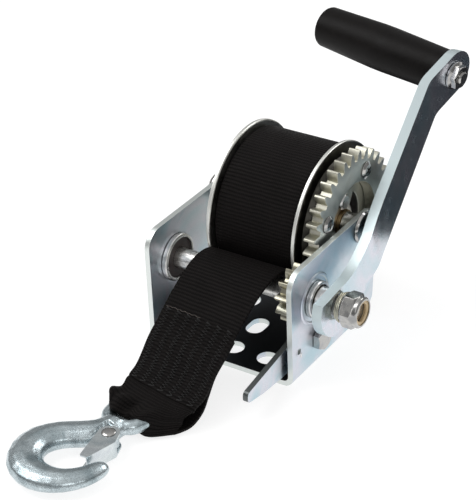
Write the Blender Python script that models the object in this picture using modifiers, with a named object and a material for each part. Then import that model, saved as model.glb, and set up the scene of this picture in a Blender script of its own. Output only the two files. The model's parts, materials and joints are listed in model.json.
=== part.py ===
"""Boat trailer winch: channel frame, geared strap drum, crank, pawl and sprung tow hook.

Units are metres and Z is up. The origin is the centre of the frame's web on its
underside. +X is the crank's side, and the strap leaves towards -Y.
"""
import math

import bmesh
import bpy
from mathutils import Matrix, Vector

MM = 0.001
GAP = 0.3 * MM                      # clearance between pieces that touch

# Frame: one bent channel, web down, with two side plates
PLATE = 3.2 * MM
INNER_HALF = 44.0 * MM              # centre plane to a plate's inner face
OUTER_HALF = INNER_HALF + PLATE
WEB_HALF_DEPTH = 38.5 * MM
PLATE_TOP = 69.8 * MM
BEND_RADIUS = 4.6 * MM              # on the sheet's middle surface
CORNER_RADIUS = 11.0 * MM
BACK_CORNER_SHIFT = 6.0 * MM        # rear corner's centre behind the drum axle
PLATE_FOOT_Y = 50.2 * MM            # the side plates reach back past the web
PLATE_FOOT_RADIUS = 6.0 * MM

# Gears
MODULE = 2.5 * MM
DRUM_TEETH = 33
PINION_TEETH = 11
PRESSURE_ANGLE = math.radians(20)
TOOTH_THINNING = 0.3 * MM           # taken off each tooth's thickness
CENTRE_DISTANCE = MODULE * (DRUM_TEETH + PINION_TEETH) / 2

# Shaft and axle places (y, z)
SHAFT_Y = -14.1 * MM
SHAFT_Z = 44.4 * MM
AXLE_Z = 62.6 * MM
AXLE_Y = SHAFT_Y + math.sqrt(CENTRE_DISTANCE ** 2 - (AXLE_Z - SHAFT_Z) ** 2)
MESH_ANGLE = math.atan2(AXLE_Z - SHAFT_Z, AXLE_Y - SHAFT_Y)
SHAFT_RADIUS = 6.0 * MM
AXLE_RADIUS = 5.0 * MM
BORE_CLEARANCE = 0.3 * MM

# Drum, along X
LEFT_FLANGE_X = -24.1 * MM          # face towards the strap
RIGHT_FLANGE_X = 28.4 * MM          # face towards the strap
FLANGE = 2.4 * MM
FLANGE_RADIUS = 45.7 * MM
DISH_STEP = 3.8 * MM                # the right flange's middle stands out to meet the gear
CORE_RADIUS = 22.0 * MM
CORE_BORE = 19.0 * MM
GEAR_X = (34.9 * MM, 41.7 * MM)
GEAR_BORE = 25.0 * MM
SCREW_CIRCLE = 31.4 * MM
SCREW_ANGLES = [math.radians(63.3 + 90 * i) for i in range(4)]
PINION_X = (31.3 * MM, 43.4 * MM)
ROLL_RADIUS = 42.7 * MM
STRAP_WIDTH = 50.0 * MM
STRAP = 1.6 * MM
STRAP_X = (LEFT_FLANGE_X + RIGHT_FLANGE_X) / 2

# Crank
CRANK_LENGTH = 180.0 * MM
CRANK_ANGLE = math.radians(20.4)
ARM = 6.0 * MM
ARM_X = 56.2 * MM                   # hub's inner face
LEAN_START = 42.0 * MM
LEAN_END = 158.0 * MM
LEAN = math.radians(10.4)           # the arm's middle leans in over the drum
TAB_LEAN = math.radians(9.6)        # and its end leans back out
GRIP_LENGTH = 91.4 * MM
GRIP_RADIUS = 14.1 * MM

# Pawl
PAWL_Y = -10.5 * MM
PAWL_Z = 18.0 * MM
PAWL_X = (38.6 * MM, 41.8 * MM)
SPRING_HOLE = (-31.5 * MM, 20.0 * MM)

# Hook: local X runs from the strap bar to the bowl, local Y towards the mouth
HOOK_AT = Vector((-8.3, -100.6, 6.9)) * MM
HOOK_HEADING = math.radians(10.5)   # from -Y towards -X
BAR_RADIUS = 4.3 * MM
RIVET_AT = Vector((31.8, 7.6, 0.0)) * MM
CHEEK_OUTER = 4.9 * MM              # latch cheeks' outer faces, above and below the hook's middle
LATCH_SHEET = 0.9 * MM


# ---------------------------------------------------------------- scene set-up

def clear_scene():
    """Remove every object and its data from the file."""
    for obj in list(bpy.data.objects):
        bpy.data.objects.remove(obj, do_unlink=True)
    for blocks in (bpy.data.meshes, bpy.data.curves, bpy.data.materials):
        for block in list(blocks):
            blocks.remove(block)
    for collection in list(bpy.data.collections):
        bpy.data.collections.remove(collection)


def new_collection(name):
    collection = bpy.data.collections.new(name)
    bpy.context.scene.collection.children.link(collection)
    return collection


def new_material(name, colour, roughness, metallic):
    """A Principled material of one plain colour."""
    material = bpy.data.materials.new(name)
    material.use_nodes = True
    shader = material.node_tree.nodes["Principled BSDF"]
    shader.inputs["Base Color"].default_value = (*colour, 1.0)
    shader.inputs["Roughness"].default_value = roughness
    shader.inputs["Metallic"].default_value = metallic
    material.diffuse_color = (*colour, 1.0)
    return material


clear_scene()
PARTS = new_collection("boat_trailer_winch")
CUTTERS = new_collection("winch_cutters")
ZINC = (0.66, 0.70, 0.74)
BRIGHT = (0.78, 0.78, 0.76)
WARM = (0.70, 0.66, 0.54)
WEBBING = (0.012, 0.012, 0.013)
PLASTIC = (0.018, 0.018, 0.019)


def add_object(name, mesh, colour=None, roughness=0.35, metallic=1.0, parent=None):
    """Link a mesh as a named part with its own material."""
    obj = bpy.data.objects.new(name, mesh)
    PARTS.objects.link(obj)
    if colour is not None:
        mesh.materials.append(new_material(name, colour, roughness, metallic))
    obj.parent = parent
    return obj


def add_cutter(name, mesh, parent=None):
    """Link a mesh that only cuts or joins other pieces."""
    obj = bpy.data.objects.new(name, mesh)
    CUTTERS.objects.link(obj)
    obj.hide_render = True
    obj.display_type = "WIRE"
    obj.parent = parent
    return obj


def add_axis(name, location, rotation=(0, 0, 0), parent=None):
    """An empty on a joint's axis, which carries the pieces that move with it."""
    empty = bpy.data.objects.new(name, None)
    PARTS.objects.link(empty)
    empty.empty_display_size = 0.02
    empty.location = location
    empty.rotation_euler = rotation
    empty.parent = parent
    return empty


# ---------------------------------------------------------------- outline helpers

def arc(centre, radius, start, end, steps):
    """Points on an arc, both ends included."""
    points = []
    for i in range(steps + 1):
        angle = start + (end - start) * i / steps
        points.append((centre[0] + radius * math.cos(angle), centre[1] + radius * math.sin(angle)))
    return points


def rounded(corners, steps=6, closed=True):
    """Round the corners of an outline. Each corner is (x, y, radius)."""
    points = []
    count = len(corners)
    for i, (x, y, radius) in enumerate(corners):
        here = Vector((x, y))
        if radius == 0 or (not closed and i in (0, count - 1)):
            points.append((x, y))
            continue
        before = Vector(corners[i - 1][:2]) - here
        after = Vector(corners[(i + 1) % count][:2]) - here
        before.normalize()
        after.normalize()
        half = before.angle(after) / 2
        middle = (before + after).normalized()
        centre = here + middle * (radius / math.sin(half))
        first = here + before * (radius / math.tan(half)) - centre
        last = here + after * (radius / math.tan(half)) - centre
        start = math.atan2(first.y, first.x)
        turn = math.atan2(last.y, last.x) - start
        turn = (turn + math.pi) % (2 * math.pi) - math.pi
        points.extend(arc(centre, radius, start, start + turn, steps))
    return points


def circle(centre, radius, steps=20):
    return arc(centre, radius, 0, 2 * math.pi * (steps - 1) / steps, steps - 1)


def tangent_angle(point, centre, radius):
    """Angle on a circle where a line from an outer point below it touches its +X side."""
    offset = Vector(point) - Vector(centre)
    return math.atan2(offset.y, offset.x) + math.acos(radius / offset.length)


# ---------------------------------------------------------------- mesh helpers

def turned_mesh(name, profile, closed=False, steps=28):
    """A profile of (radius, x) turned around X. The outer side runs from high x to low x."""
    mesh = bpy.data.meshes.new(name + "_profile")
    verts = [(radius, 0, x) for radius, x in profile]
    edges = [(i, i + 1) for i in range(len(verts) - 1)]
    if closed:
        edges.append((len(verts) - 1, 0))
    mesh.from_pydata(verts, edges, [])
    profile_object = bpy.data.objects.new(name + "_profile", mesh)
    CUTTERS.objects.link(profile_object)
    screw = profile_object.modifiers.new("turn", "SCREW")
    screw.axis = "Z"
    screw.angle = 2 * math.pi
    screw.steps = steps
    screw.render_steps = steps
    screw.use_merge_vertices = True
    screw.merge_threshold = 0.00001
    result = apply_object(profile_object, name)
    result.transform(Matrix.Rotation(math.pi / 2, 4, "Y"))
    return result


def apply_object(obj, name):
    """Return the object's evaluated mesh, welded, and remove the object."""
    depsgraph = bpy.context.evaluated_depsgraph_get()
    mesh = bpy.data.meshes.new_from_object(obj.evaluated_get(depsgraph))
    mesh.name = name
    work = bmesh.new()
    work.from_mesh(mesh)
    bmesh.ops.remove_doubles(work, verts=work.verts, dist=0.000002)
    bmesh.ops.recalc_face_normals(work, faces=work.faces)
    work.to_mesh(mesh)
    work.free()
    bpy.data.objects.remove(obj, do_unlink=True)
    mesh.shade_smooth()
    mesh.set_sharp_from_angle(angle=math.radians(35))
    return mesh


def outline_mesh(name, outlines, thickness, plane="YZ", start=0.0):
    """Flat outlines (the first one outer, the others holes) given a thickness.

    Plane YZ stands the outline upright with its thickness along +X from start.
    Plane XY lays it flat with its thickness along +Z from start.
    """
    curve = bpy.data.curves.new(name + "_outline", "CURVE")
    curve.dimensions = "2D"
    curve.fill_mode = "BOTH"
    curve.extrude = thickness / 2
    for outline in outlines:
        spline = curve.splines.new("POLY")
        spline.points.add(len(outline) - 1)
        for point, (x, y) in zip(spline.points, outline):
            point.co = (x, y, 0, 1)
        spline.use_cyclic_u = True
    obj = bpy.data.objects.new(name + "_outline", curve)
    CUTTERS.objects.link(obj)
    mesh = apply_object(obj, name)
    bpy.data.curves.remove(curve)
    mesh.transform(Matrix.Translation((0, 0, start + thickness / 2)))
    if plane == "YZ":
        mesh.transform(Matrix(((0, 0, 1, 0), (1, 0, 0, 0), (0, 1, 0, 0), (0, 0, 0, 1))))
    return mesh


def wire_mesh(name, points, radius, resolution=2, radii=None, cyclic=False):
    """A round wire or tube along points, with filled ends."""
    curve = bpy.data.curves.new(name + "_path", "CURVE")
    curve.dimensions = "3D"
    curve.bevel_depth = radius
    curve.bevel_resolution = resolution
    curve.use_fill_caps = True
    spline = curve.splines.new("POLY")
    spline.points.add(len(points) - 1)
    for i, (target, point) in enumerate(zip(spline.points, points)):
        target.co = (*point, 1)
        target.radius = radii[i] if radii else 1.0
    spline.use_cyclic_u = cyclic
    obj = bpy.data.objects.new(name + "_path", curve)
    CUTTERS.objects.link(obj)
    mesh = apply_object(obj, name)
    bpy.data.curves.remove(curve)
    return mesh


def prism_mesh(name, rods, sides=24):
    """Separate straight prisms; each rod is (start, end, radius, turn)."""
    work = bmesh.new()
    for start, end, radius, turn in rods:
        along = Vector(end) - Vector(start)
        place = Matrix.Translation((Vector(start) + Vector(end)) / 2)
        place = place @ along.to_track_quat("Z", "Y").to_matrix().to_4x4()
        place = place @ Matrix.Rotation(turn, 4, "Z")
        bmesh.ops.create_cone(
            work, cap_ends=True, segments=sides, radius1=radius, radius2=radius,
            depth=along.length, matrix=place)
    mesh = bpy.data.meshes.new(name)
    work.to_mesh(mesh)
    work.free()
    return mesh


def box_mesh(name, low, high):
    """A box between two corners."""
    low = Vector(low)
    high = Vector(high)
    size = high - low
    place = Matrix.Translation((low + high) / 2) @ Matrix.Diagonal((*size, 1.0))
    work = bmesh.new()
    bmesh.ops.create_cube(work, size=1.0, matrix=place)
    mesh = bpy.data.meshes.new(name)
    work.to_mesh(mesh)
    work.free()
    return mesh


def bent_sheet_mesh(name, path, low, high):
    """An open surface: a path of (x, s) bent points, drawn out from low to high along the third axis."""
    work = bmesh.new()
    rows = []
    for a, b in path:
        rows.append((work.verts.new((a, low, b)), work.verts.new((a, high, b))))
    for (a, b), (c, d) in zip(rows, rows[1:]):
        work.faces.new((a, b, d, c))
    mesh = bpy.data.meshes.new(name)
    work.to_mesh(mesh)
    work.free()
    return mesh


def boolean(obj, cutter, operation):
    """Add an exact Boolean by another object."""
    modifier = obj.modifiers.new(operation.lower(), "BOOLEAN")
    modifier.operation = operation
    modifier.solver = "EXACT"
    modifier.object = cutter
    return modifier


def shift(mesh, offset):
    mesh.transform(Matrix.Translation(offset))
    return mesh


# ---------------------------------------------------------------- frame and its fixed pieces

def frame_outline():
    """Side view of the channel, anticlockwise: web end, rear foot, back edge, flat top, front corner."""
    relief = PLATE + BEND_RADIUS
    below = -2 * PLATE
    level = PLATE_TOP - CORNER_RADIUS
    rear = (AXLE_Y + BACK_CORNER_SHIFT, level)
    front = (-WEB_HALF_DEPTH + CORNER_RADIUS, level)
    foot_centre = (PLATE_FOOT_Y - PLATE_FOOT_RADIUS, relief + PLATE_FOOT_RADIUS)
    foot = (PLATE_FOOT_Y, relief + PLATE_FOOT_RADIUS)
    outline = [(-WEB_HALF_DEPTH, below), (WEB_HALF_DEPTH, below), (WEB_HALF_DEPTH, relief)]
    outline += arc(foot_centre, PLATE_FOOT_RADIUS, -math.pi / 2, 0, 5)
    outline += arc(rear, CORNER_RADIUS, tangent_angle(foot, rear, CORNER_RADIUS), math.pi / 2, 8)
    outline += arc(front, CORNER_RADIUS, math.pi / 2, math.pi, 8)
    return outline


def build_frame():
    """Bend the channel, trim it to its side outline, then pierce it."""
    middle = INNER_HALF + PLATE / 2
    high = 90 * MM
    corners = [(-middle, high, 0), (-middle, PLATE / 2, BEND_RADIUS),
               (middle, PLATE / 2, BEND_RADIUS), (middle, high, 0)]
    path = rounded(corners, steps=5, closed=False)
    mesh = bent_sheet_mesh("frame", path, -60 * MM, 80 * MM)
    frame = add_object("frame", mesh, ZINC, 0.3, 1.0)
    sheet = frame.modifiers.new("sheet", "SOLIDIFY")
    sheet.thickness = PLATE
    sheet.offset = 0
    sheet.use_even_offset = True
    outline = outline_mesh("frame_trim", [frame_outline()], 120 * MM, "YZ", -60 * MM)
    boolean(frame, add_cutter("frame_trim", outline), "INTERSECT")
    boolean(frame, add_cutter("bearing_rims", bearing_rim_mesh()), "UNION")
    boolean(frame, add_cutter("plate_holes", plate_holes_mesh()), "DIFFERENCE")
    boolean(frame, add_cutter("web_holes", web_holes_mesh()), "DIFFERENCE")
    return frame


def bearing_rim_mesh():
    """The pressed rim around the right plate's bearing hole, on its outer face."""
    inner, outer, rise = 12.9 * MM, 15.2 * MM, 0.7 * MM
    face = OUTER_HALF - 0.4 * MM
    profile = [(inner + 0.5 * MM, OUTER_HALF + rise), (outer - 0.7 * MM, OUTER_HALF + rise),
               (outer, OUTER_HALF), (outer, face), (inner, face), (inner, OUTER_HALF)]
    return shift(turned_mesh("bearing_rims", profile, closed=True, steps=36), (0, SHAFT_Y, SHAFT_Z))


def plate_holes_mesh():
    """Shaft and axle holes through both plates, pawl pivot and spring hole through the right one."""
    wide, right_only = 60 * MM, 40 * MM
    bearing_hole, pivot_hole, spring_hole = 9.3 * MM, 4.3 * MM, 1.8 * MM
    rods = [((-wide, SHAFT_Y, SHAFT_Z), (wide, SHAFT_Y, SHAFT_Z), bearing_hole, 0),
            ((-wide, AXLE_Y, AXLE_Z), (wide, AXLE_Y, AXLE_Z), AXLE_RADIUS + BORE_CLEARANCE, 0),
            ((right_only, PAWL_Y, PAWL_Z), (wide, PAWL_Y, PAWL_Z), pivot_hole, 0),
            ((right_only, *SPRING_HOLE), (wide, *SPRING_HOLE), spring_hole, 0)]
    return prism_mesh("plate_holes", rods, sides=20)


def web_holes_mesh():
    """Bolt holes and a slot in the web."""
    low, high = -5 * MM, 10 * MM
    front, rear = -24.3 * MM, 21.5 * MM
    front_radius, rear_radius, slot_radius = 6.0 * MM, 7.0 * MM, 5.3 * MM
    outlines = [circle((x * MM, front), front_radius) for x in (-22, 0, 22)]
    outlines += [circle((x * MM, rear), rear_radius) for x in (-19, 19)]
    slot = arc((0, 3.2 * MM), slot_radius, 0, math.pi, 10)
    slot += arc((0, -2.2 * MM), slot_radius, math.pi, 2 * math.pi, 10)
    outlines.append(slot)
    return outline_mesh("web_holes", outlines, high - low, "XY", low)


def build_bearings():
    """A ring in each plate's shaft hole, wider on the left, and a dark seal in its mouth."""
    sides = (("left", -INNER_HALF, 14.0 * MM, 11.6 * MM), ("right", OUTER_HALF, 10.7 * MM, 8.6 * MM))
    sleeve, bore, lip = 9.0 * MM, 7.6 * MM, 3.4 * MM
    for side, face, outer, seal_radius in sides:
        end = -PLATE - 0.6 * MM
        mouth = seal_radius + GAP
        ring = [(outer - 0.6 * MM, lip), (outer, lip - 0.6 * MM), (outer, GAP), (sleeve, GAP), (sleeve, end),
                (bore, end), (bore, MM), (mouth, MM), (mouth, lip)]
        inner = SHAFT_RADIUS + BORE_CLEARANCE
        seal = [(seal_radius, 2.7 * MM), (seal_radius, 1.3 * MM), (bore - GAP, 1.3 * MM),
                (bore - GAP, end + GAP), (inner, end + GAP), (inner, 2.7 * MM)]
        ring_mesh = turned_mesh("bearing_ring", ring, closed=True, steps=32)
        seal_mesh = turned_mesh("bearing_seal", seal, closed=True, steps=20)
        place = (face, SHAFT_Y, SHAFT_Z)
        add_object(side + "_bearing", ring_mesh, BRIGHT, 0.3, 1.0).location = place
        add_object(side + "_bearing_seal", seal_mesh, (0.05, 0.035, 0.03), 0.5, 0.0).location = place


def hex_mesh(name, low, high, across_flats, bevelled=(True, True)):
    """A hexagon along X between low and high, with its end corners turned off."""
    corner = across_flats / math.sqrt(3)
    flat = across_flats / 2 * 0.97
    cut = (corner - flat) * math.tan(math.radians(30))
    body = add_cutter(name + "_hex", prism_mesh(
        name, [((low, 0, 0), (high, 0, 0), corner, 0)], sides=6))
    top = [(0, high), (flat, high), (corner, high - cut)] if bevelled[1] else [
        (0, high), (corner + cut, high)]
    bottom = [(corner, low + cut), (flat, low), (0, low)] if bevelled[0] else [
        (corner + cut, low), (0, low)]
    limit = add_cutter(name + "_limit", turned_mesh(name + "_limit", top + bottom, steps=24))
    boolean(body, limit, "INTERSECT")
    mesh = apply_object(body, name)
    bpy.data.objects.remove(limit, do_unlink=True)
    return mesh


def join_meshes(name, first, second, operation):
    """Apply one Boolean between two meshes."""
    body = add_cutter(name + "_body", first)
    tool = add_cutter(name + "_tool", second)
    boolean(body, tool, operation)
    mesh = apply_object(body, name)
    bpy.data.objects.remove(tool, do_unlink=True)
    return mesh


def nut_mesh(name, low, high, across_flats, bore):
    body = hex_mesh(name, low, high, across_flats)
    hole = prism_mesh(name + "_bore", [((low - MM, 0, 0), (high + MM, 0, 0), bore, 0)], sides=20)
    return join_meshes(name, body, hole, "DIFFERENCE")


def hex_bolt_mesh(name, head_low, head_high, across_flats, tip, radius):
    """A hex bolt along X: its head between head_low and head_high, its plain shank down to tip."""
    head = hex_mesh(name, head_low, head_high, across_flats, (False, True))
    chamfer = 0.8 * MM
    away = 1 if tip > head_low else -1
    middle = (head_low + head_high) / 2
    ends = [(0, tip), (radius - chamfer, tip), (radius, tip - away * chamfer), (radius, middle), (0, middle)]
    profile = ends if away > 0 else ends[::-1]
    return join_meshes(name, head, turned_mesh(name + "_shank", profile, steps=18), "UNION")


def build_axle():
    """The bolt that carries the drum, its low domed nut, and the tubes that keep the drum central."""
    place = (0, AXLE_Y, AXLE_Z)
    head_low = OUTER_HALF + GAP
    tip = -OUTER_HALF - 4.4 * MM
    profile = [(0, head_low + 3.2 * MM), (6.0 * MM, head_low + 3.0 * MM), (8.6 * MM, head_low + 1.8 * MM),
               (9.2 * MM, head_low + 0.4 * MM), (9.2 * MM, head_low), (AXLE_RADIUS, head_low),
               (AXLE_RADIUS, tip + 0.9 * MM), (AXLE_RADIUS - 0.9 * MM, tip), (0, tip)]
    bolt = add_object("axle_bolt", turned_mesh("axle_bolt", profile, steps=24), BRIGHT, 0.3, 1.0)
    bolt.location = place
    seat, bore = -OUTER_HALF - GAP, AXLE_RADIUS + BORE_CLEARANCE
    dome = [(bore, seat), (9.2 * MM, seat), (9.2 * MM, seat - 0.8 * MM), (8.6 * MM, seat - 2.2 * MM),
            (7.2 * MM, seat - 3.4 * MM), (5.9 * MM, seat - 3.8 * MM), (bore, seat - 3.8 * MM)]
    nut = turned_mesh("axle_nut", dome, closed=True, steps=24)
    add_object("axle_nut", nut, BRIGHT, 0.3, 1.0).location = place
    spans = {"left_axle_spacer": (-INNER_HALF + GAP, -27.7 * MM),
             "right_axle_spacer": (36.9 * MM, INNER_HALF - GAP)}
    for name, (low, high) in spans.items():
        outer, inner = 6.6 * MM, AXLE_RADIUS + BORE_CLEARANCE
        tube = [(outer, high), (outer, low), (inner, low), (inner, high)]
        spacer = add_object(name, turned_mesh(name, tube, closed=True, steps=20), BRIGHT, 0.3, 1.0)
        spacer.location = place


# ---------------------------------------------------------------- gears

def involute(angle):
    return math.tan(angle) - angle


def gear_outline(teeth, tip_radius, root_radius, phase, flank_steps=4):
    """A spur gear's outline, with a tooth centred on the angle phase."""
    pitch_radius = MODULE * teeth / 2
    base_radius = pitch_radius * math.cos(PRESSURE_ANGLE)
    half_tooth = (math.pi * MODULE / 2 - TOOTH_THINNING) / (2 * pitch_radius)
    half_at_base = half_tooth + involute(PRESSURE_ANGLE)
    start_radius = max(base_radius, root_radius + 0.4 * MM)
    flank = []
    for i in range(flank_steps + 1):
        radius = start_radius + (tip_radius - start_radius) * i / flank_steps
        pressure = math.acos(min(1.0, base_radius / radius))
        flank.append((radius, half_at_base - involute(pressure)))
    tip_round = 0.35 * MM
    last_radius, last_half = flank.pop()
    flank.append((last_radius - tip_round, last_half + 0.25 * tip_round / last_radius))
    flank.append((last_radius, max(last_half - tip_round / last_radius, 0.3 * last_half)))
    root_half = flank[0][1] + 0.2 * MM / root_radius
    flank.insert(0, (root_radius, root_half))
    points = []
    for tooth in range(teeth):
        centre = phase + 2 * math.pi * tooth / teeth
        for radius, half in flank:
            points.append((radius * math.cos(centre - half), radius * math.sin(centre - half)))
        for radius, half in reversed(flank):
            points.append((radius * math.cos(centre + half), radius * math.sin(centre + half)))
    return points


def drum_gear_outline():
    pitch_radius = MODULE * DRUM_TEETH / 2
    return gear_outline(DRUM_TEETH, pitch_radius + MODULE, pitch_radius - 1.25 * MODULE,
                        MESH_ANGLE + math.pi, flank_steps=2)


def pinion_outline():
    pitch_radius = MODULE * PINION_TEETH / 2
    half_pitch = math.pi / PINION_TEETH
    return gear_outline(PINION_TEETH, pitch_radius + MODULE, pitch_radius - 1.25 * MODULE,
                        MESH_ANGLE + half_pitch, flank_steps=3)


# ---------------------------------------------------------------- drum

def build_drum():
    """Everything that turns with the drum around the axle."""
    axis = add_axis("drum_axis", (0, AXLE_Y, AXLE_Z))
    hub_hole = 7.7 * MM
    core = [(CORE_RADIUS, RIGHT_FLANGE_X + DISH_STEP - GAP), (CORE_RADIUS, LEFT_FLANGE_X + GAP),
            (CORE_BORE, LEFT_FLANGE_X + GAP), (CORE_BORE, RIGHT_FLANGE_X + DISH_STEP - GAP)]
    add_object("drum_core", turned_mesh("drum_core", core, closed=True, steps=32), ZINC, 0.4, 1.0, axis)
    build_flanges(axis, hub_hole)
    build_gear(axis)
    build_gear_screws(axis)
    spans = {"left_drum_bush": (-27.4 * MM, -20.0 * MM), "right_drum_bush": (29.5 * MM, 36.6 * MM)}
    for name, (low, high) in spans.items():
        outer, inner = hub_hole - GAP, AXLE_RADIUS + BORE_CLEARANCE
        tube = [(outer, high), (outer, low), (inner, low), (inner, high)]
        mesh = turned_mesh(name, tube, closed=True, steps=20)
        add_object(name, mesh, (0.30, 0.22, 0.12), 0.4, 0.6, axis)
    build_anchor_pin(axis)
    low = STRAP_X - STRAP_WIDTH / 2
    high = STRAP_X + STRAP_WIDTH / 2
    inner = CORE_RADIUS + 0.4 * MM
    roll = [(ROLL_RADIUS, high), (ROLL_RADIUS, low), (inner, low), (inner, high)]
    mesh = turned_mesh("strap_roll", roll, closed=True, steps=60)
    add_object("strap_roll", mesh, WEBBING, 0.7, 0.0, axis)


def anchor_place():
    """The strap anchor pin, straight above the axle."""
    return Vector((0, 0, 13.0 * MM))


def build_flanges(axis, hub_hole):
    """A flat left flange and a dished right one with a window beside the hub."""
    rim = 0.7 * MM
    pin_hole = 3.8 * MM
    low, high = LEFT_FLANGE_X - FLANGE, LEFT_FLANGE_X
    flat = [(FLANGE_RADIUS - rim, high), (FLANGE_RADIUS, high - rim), (FLANGE_RADIUS, low),
            (hub_hole, low), (hub_hole, high)]
    left = add_object("left_flange", turned_mesh("left_flange", flat, closed=True, steps=60),
                      BRIGHT, 0.3, 1.0, axis)
    low, high = RIGHT_FLANGE_X, RIGHT_FLANGE_X + FLANGE
    foot, shoulder = 38.2 * MM, 35.8 * MM
    dished = [(hub_hole, high + DISH_STEP), (shoulder, high + DISH_STEP), (foot, high),
              (FLANGE_RADIUS - rim, high), (FLANGE_RADIUS, high - rim), (FLANGE_RADIUS, low),
              (foot - 1.2 * MM, low),
              (shoulder - 1.2 * MM, low + DISH_STEP), (hub_hole, low + DISH_STEP)]
    right = add_object("right_flange", turned_mesh("right_flange", dished, closed=True, steps=60),
                       BRIGHT, 0.3, 1.0, axis)
    pin = anchor_place()
    start, end = pin + Vector((-60 * MM, 0, 0)), pin + Vector((60 * MM, 0, 0))
    pin_cut = add_cutter("anchor_holes", prism_mesh("anchor_holes", [(start, end, pin_hole, 0)], 16), axis)
    boolean(left, pin_cut, "DIFFERENCE")
    boolean(right, pin_cut, "DIFFERENCE")
    window = arc((0, 0), 18.2 * MM, math.radians(-48), math.radians(48), 10)
    window += arc((0, 0), 10.8 * MM, math.radians(40), math.radians(-40), 7)
    cut = add_cutter("flange_window", outline_mesh("flange_window", [window], 10 * MM, "YZ", 28 * MM), axis)
    boolean(right, cut, "DIFFERENCE")
    threads = []
    for angle in SCREW_ANGLES:
        y, z = SCREW_CIRCLE * math.cos(angle), SCREW_CIRCLE * math.sin(angle)
        threads.append(((28 * MM, y, z), (38 * MM, y, z), 2.8 * MM, 0))
    boolean(right, add_cutter("screw_holes", prism_mesh("screw_holes", threads, 12), axis), "DIFFERENCE")


def build_gear(axis):
    low, high = GEAR_X
    holes = [circle((0, 0), GEAR_BORE, 40)]
    for angle in SCREW_ANGLES:
        place = (SCREW_CIRCLE * math.cos(angle), SCREW_CIRCLE * math.sin(angle))
        holes.append(circle(place, 2.8 * MM, 12))
    mesh = outline_mesh("drum_gear", [drum_gear_outline()] + holes, high - low, "YZ", low)
    add_object("drum_gear", mesh, WARM, 0.4, 1.0, axis)


def build_gear_screws(axis):
    """Four pan-head cross-recess screws that hold the gear on the right flange."""
    seat = GEAR_X[1] + GAP
    tip = RIGHT_FLANGE_X + 2.0 * MM
    profile = [(0, seat + 1.5 * MM), (3.4 * MM, seat + 1.4 * MM), (5.0 * MM, seat + 0.3 * MM),
               (5.0 * MM, seat), (2.5 * MM, seat), (2.5 * MM, tip),
               (0, tip)]
    body = turned_mesh("gear_screw", profile, steps=16)
    arm, half = 2.5 * MM, 0.55 * MM
    low, high = seat + 0.2 * MM, seat + 3 * MM
    blades = join_meshes("recess", box_mesh("recess", (low, -arm, -half), (high, arm, half)),
                         box_mesh("recess_b", (low, -half, -arm), (high, half, arm)), "UNION")
    body = join_meshes("gear_screw", body, blades, "DIFFERENCE")
    for i, angle in enumerate(SCREW_ANGLES):
        screw = add_object("gear_screw_%d" % (i + 1), body.copy(), BRIGHT, 0.25, 1.0, axis)
        screw.location = (0, SCREW_CIRCLE * math.cos(angle), SCREW_CIRCLE * math.sin(angle))
        screw.rotation_euler = (0.4 + 1.1 * i, 0, 0)


def build_anchor_pin(axis):
    """A headed pin across the core that the strap's inner end is looped on."""
    radius, head = 3.5 * MM, 4.8 * MM
    left = LEFT_FLANGE_X - FLANGE - GAP
    right = RIGHT_FLANGE_X + DISH_STEP + FLANGE + GAP
    rise = 2.1 * MM
    profile = [(0, right + rise), (head - MM, right + rise), (head, right + rise - MM), (head, right),
               (radius, right), (radius, left), (head, left), (head, left - rise + MM),
               (head - MM, left - rise), (0, left - rise)]
    pin = add_object("strap_anchor_pin", turned_mesh("strap_anchor_pin", profile, steps=18),
                     BRIGHT, 0.3, 1.0, axis)
    pin.location = anchor_place()


# ---------------------------------------------------------------- crank

def build_crank():
    """The shaft, pinion and arm, which turn together, in the arm's own frame (local Y along the arm)."""
    axis = add_axis("crank_axis", (0, SHAFT_Y, SHAFT_Z), (CRANK_ANGLE, 0, 0))
    build_shaft(axis)
    low, high = PINION_X
    bore = circle((0, 0), SHAFT_RADIUS + BORE_CLEARANCE, 20)
    mesh = outline_mesh("pinion_gear", [pinion_outline(), bore], high - low, "YZ", low)
    mesh.transform(Matrix.Rotation(-CRANK_ANGLE, 4, "X"))
    add_object("pinion_gear", mesh, WARM, 0.35, 1.0, axis)
    build_arm(axis)
    build_crank_fasteners(axis)
    grip_place = (arm_face(CRANK_LENGTH), CRANK_LENGTH, 0)
    grip_axis = add_axis("grip_axis", grip_place, (0, 0, -TAB_LEAN), axis)
    build_grip(grip_axis)


def build_shaft(axis):
    """A plain shaft with a clip groove at its left end and a thinner threaded right end."""
    left, groove = -52.5 * MM, (-50.2 * MM, -48.6 * MM)
    end = 73.8 * MM
    groove_radius, chamfer = 5.0 * MM, 0.8 * MM
    profile = [(0, end), (SHAFT_RADIUS - chamfer, end), (SHAFT_RADIUS, end - chamfer),
               (SHAFT_RADIUS, groove[1]), (groove_radius, groove[1]), (groove_radius, groove[0]),
               (SHAFT_RADIUS, groove[0]), (SHAFT_RADIUS, left + chamfer),
               (SHAFT_RADIUS - chamfer, left), (0, left)]
    add_object("drive_shaft", turned_mesh("drive_shaft", profile, steps=24), BRIGHT, 0.25, 1.0, axis)
    clip_outline = arc((0, 0), 9.0 * MM, math.radians(40), math.radians(320), 16)
    clip_outline += arc((0, 0), groove_radius + GAP, math.radians(320), math.radians(40), 14)
    mesh = outline_mesh("shaft_clip", [clip_outline], 0.9 * MM, "YZ", -49.9 * MM)
    add_object("shaft_clip", mesh, (0.25, 0.25, 0.27), 0.35, 1.0, axis)
    low, high = 50.9 * MM, ARM_X - GAP
    outer, inner = 8.2 * MM, SHAFT_RADIUS + BORE_CLEARANCE
    tube = [(outer, high), (outer, low), (inner, low), (inner, high)]
    mesh = turned_mesh("shaft_collar", tube, closed=True, steps=24)
    add_object("shaft_collar", mesh, BRIGHT, 0.25, 1.0, axis)


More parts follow.
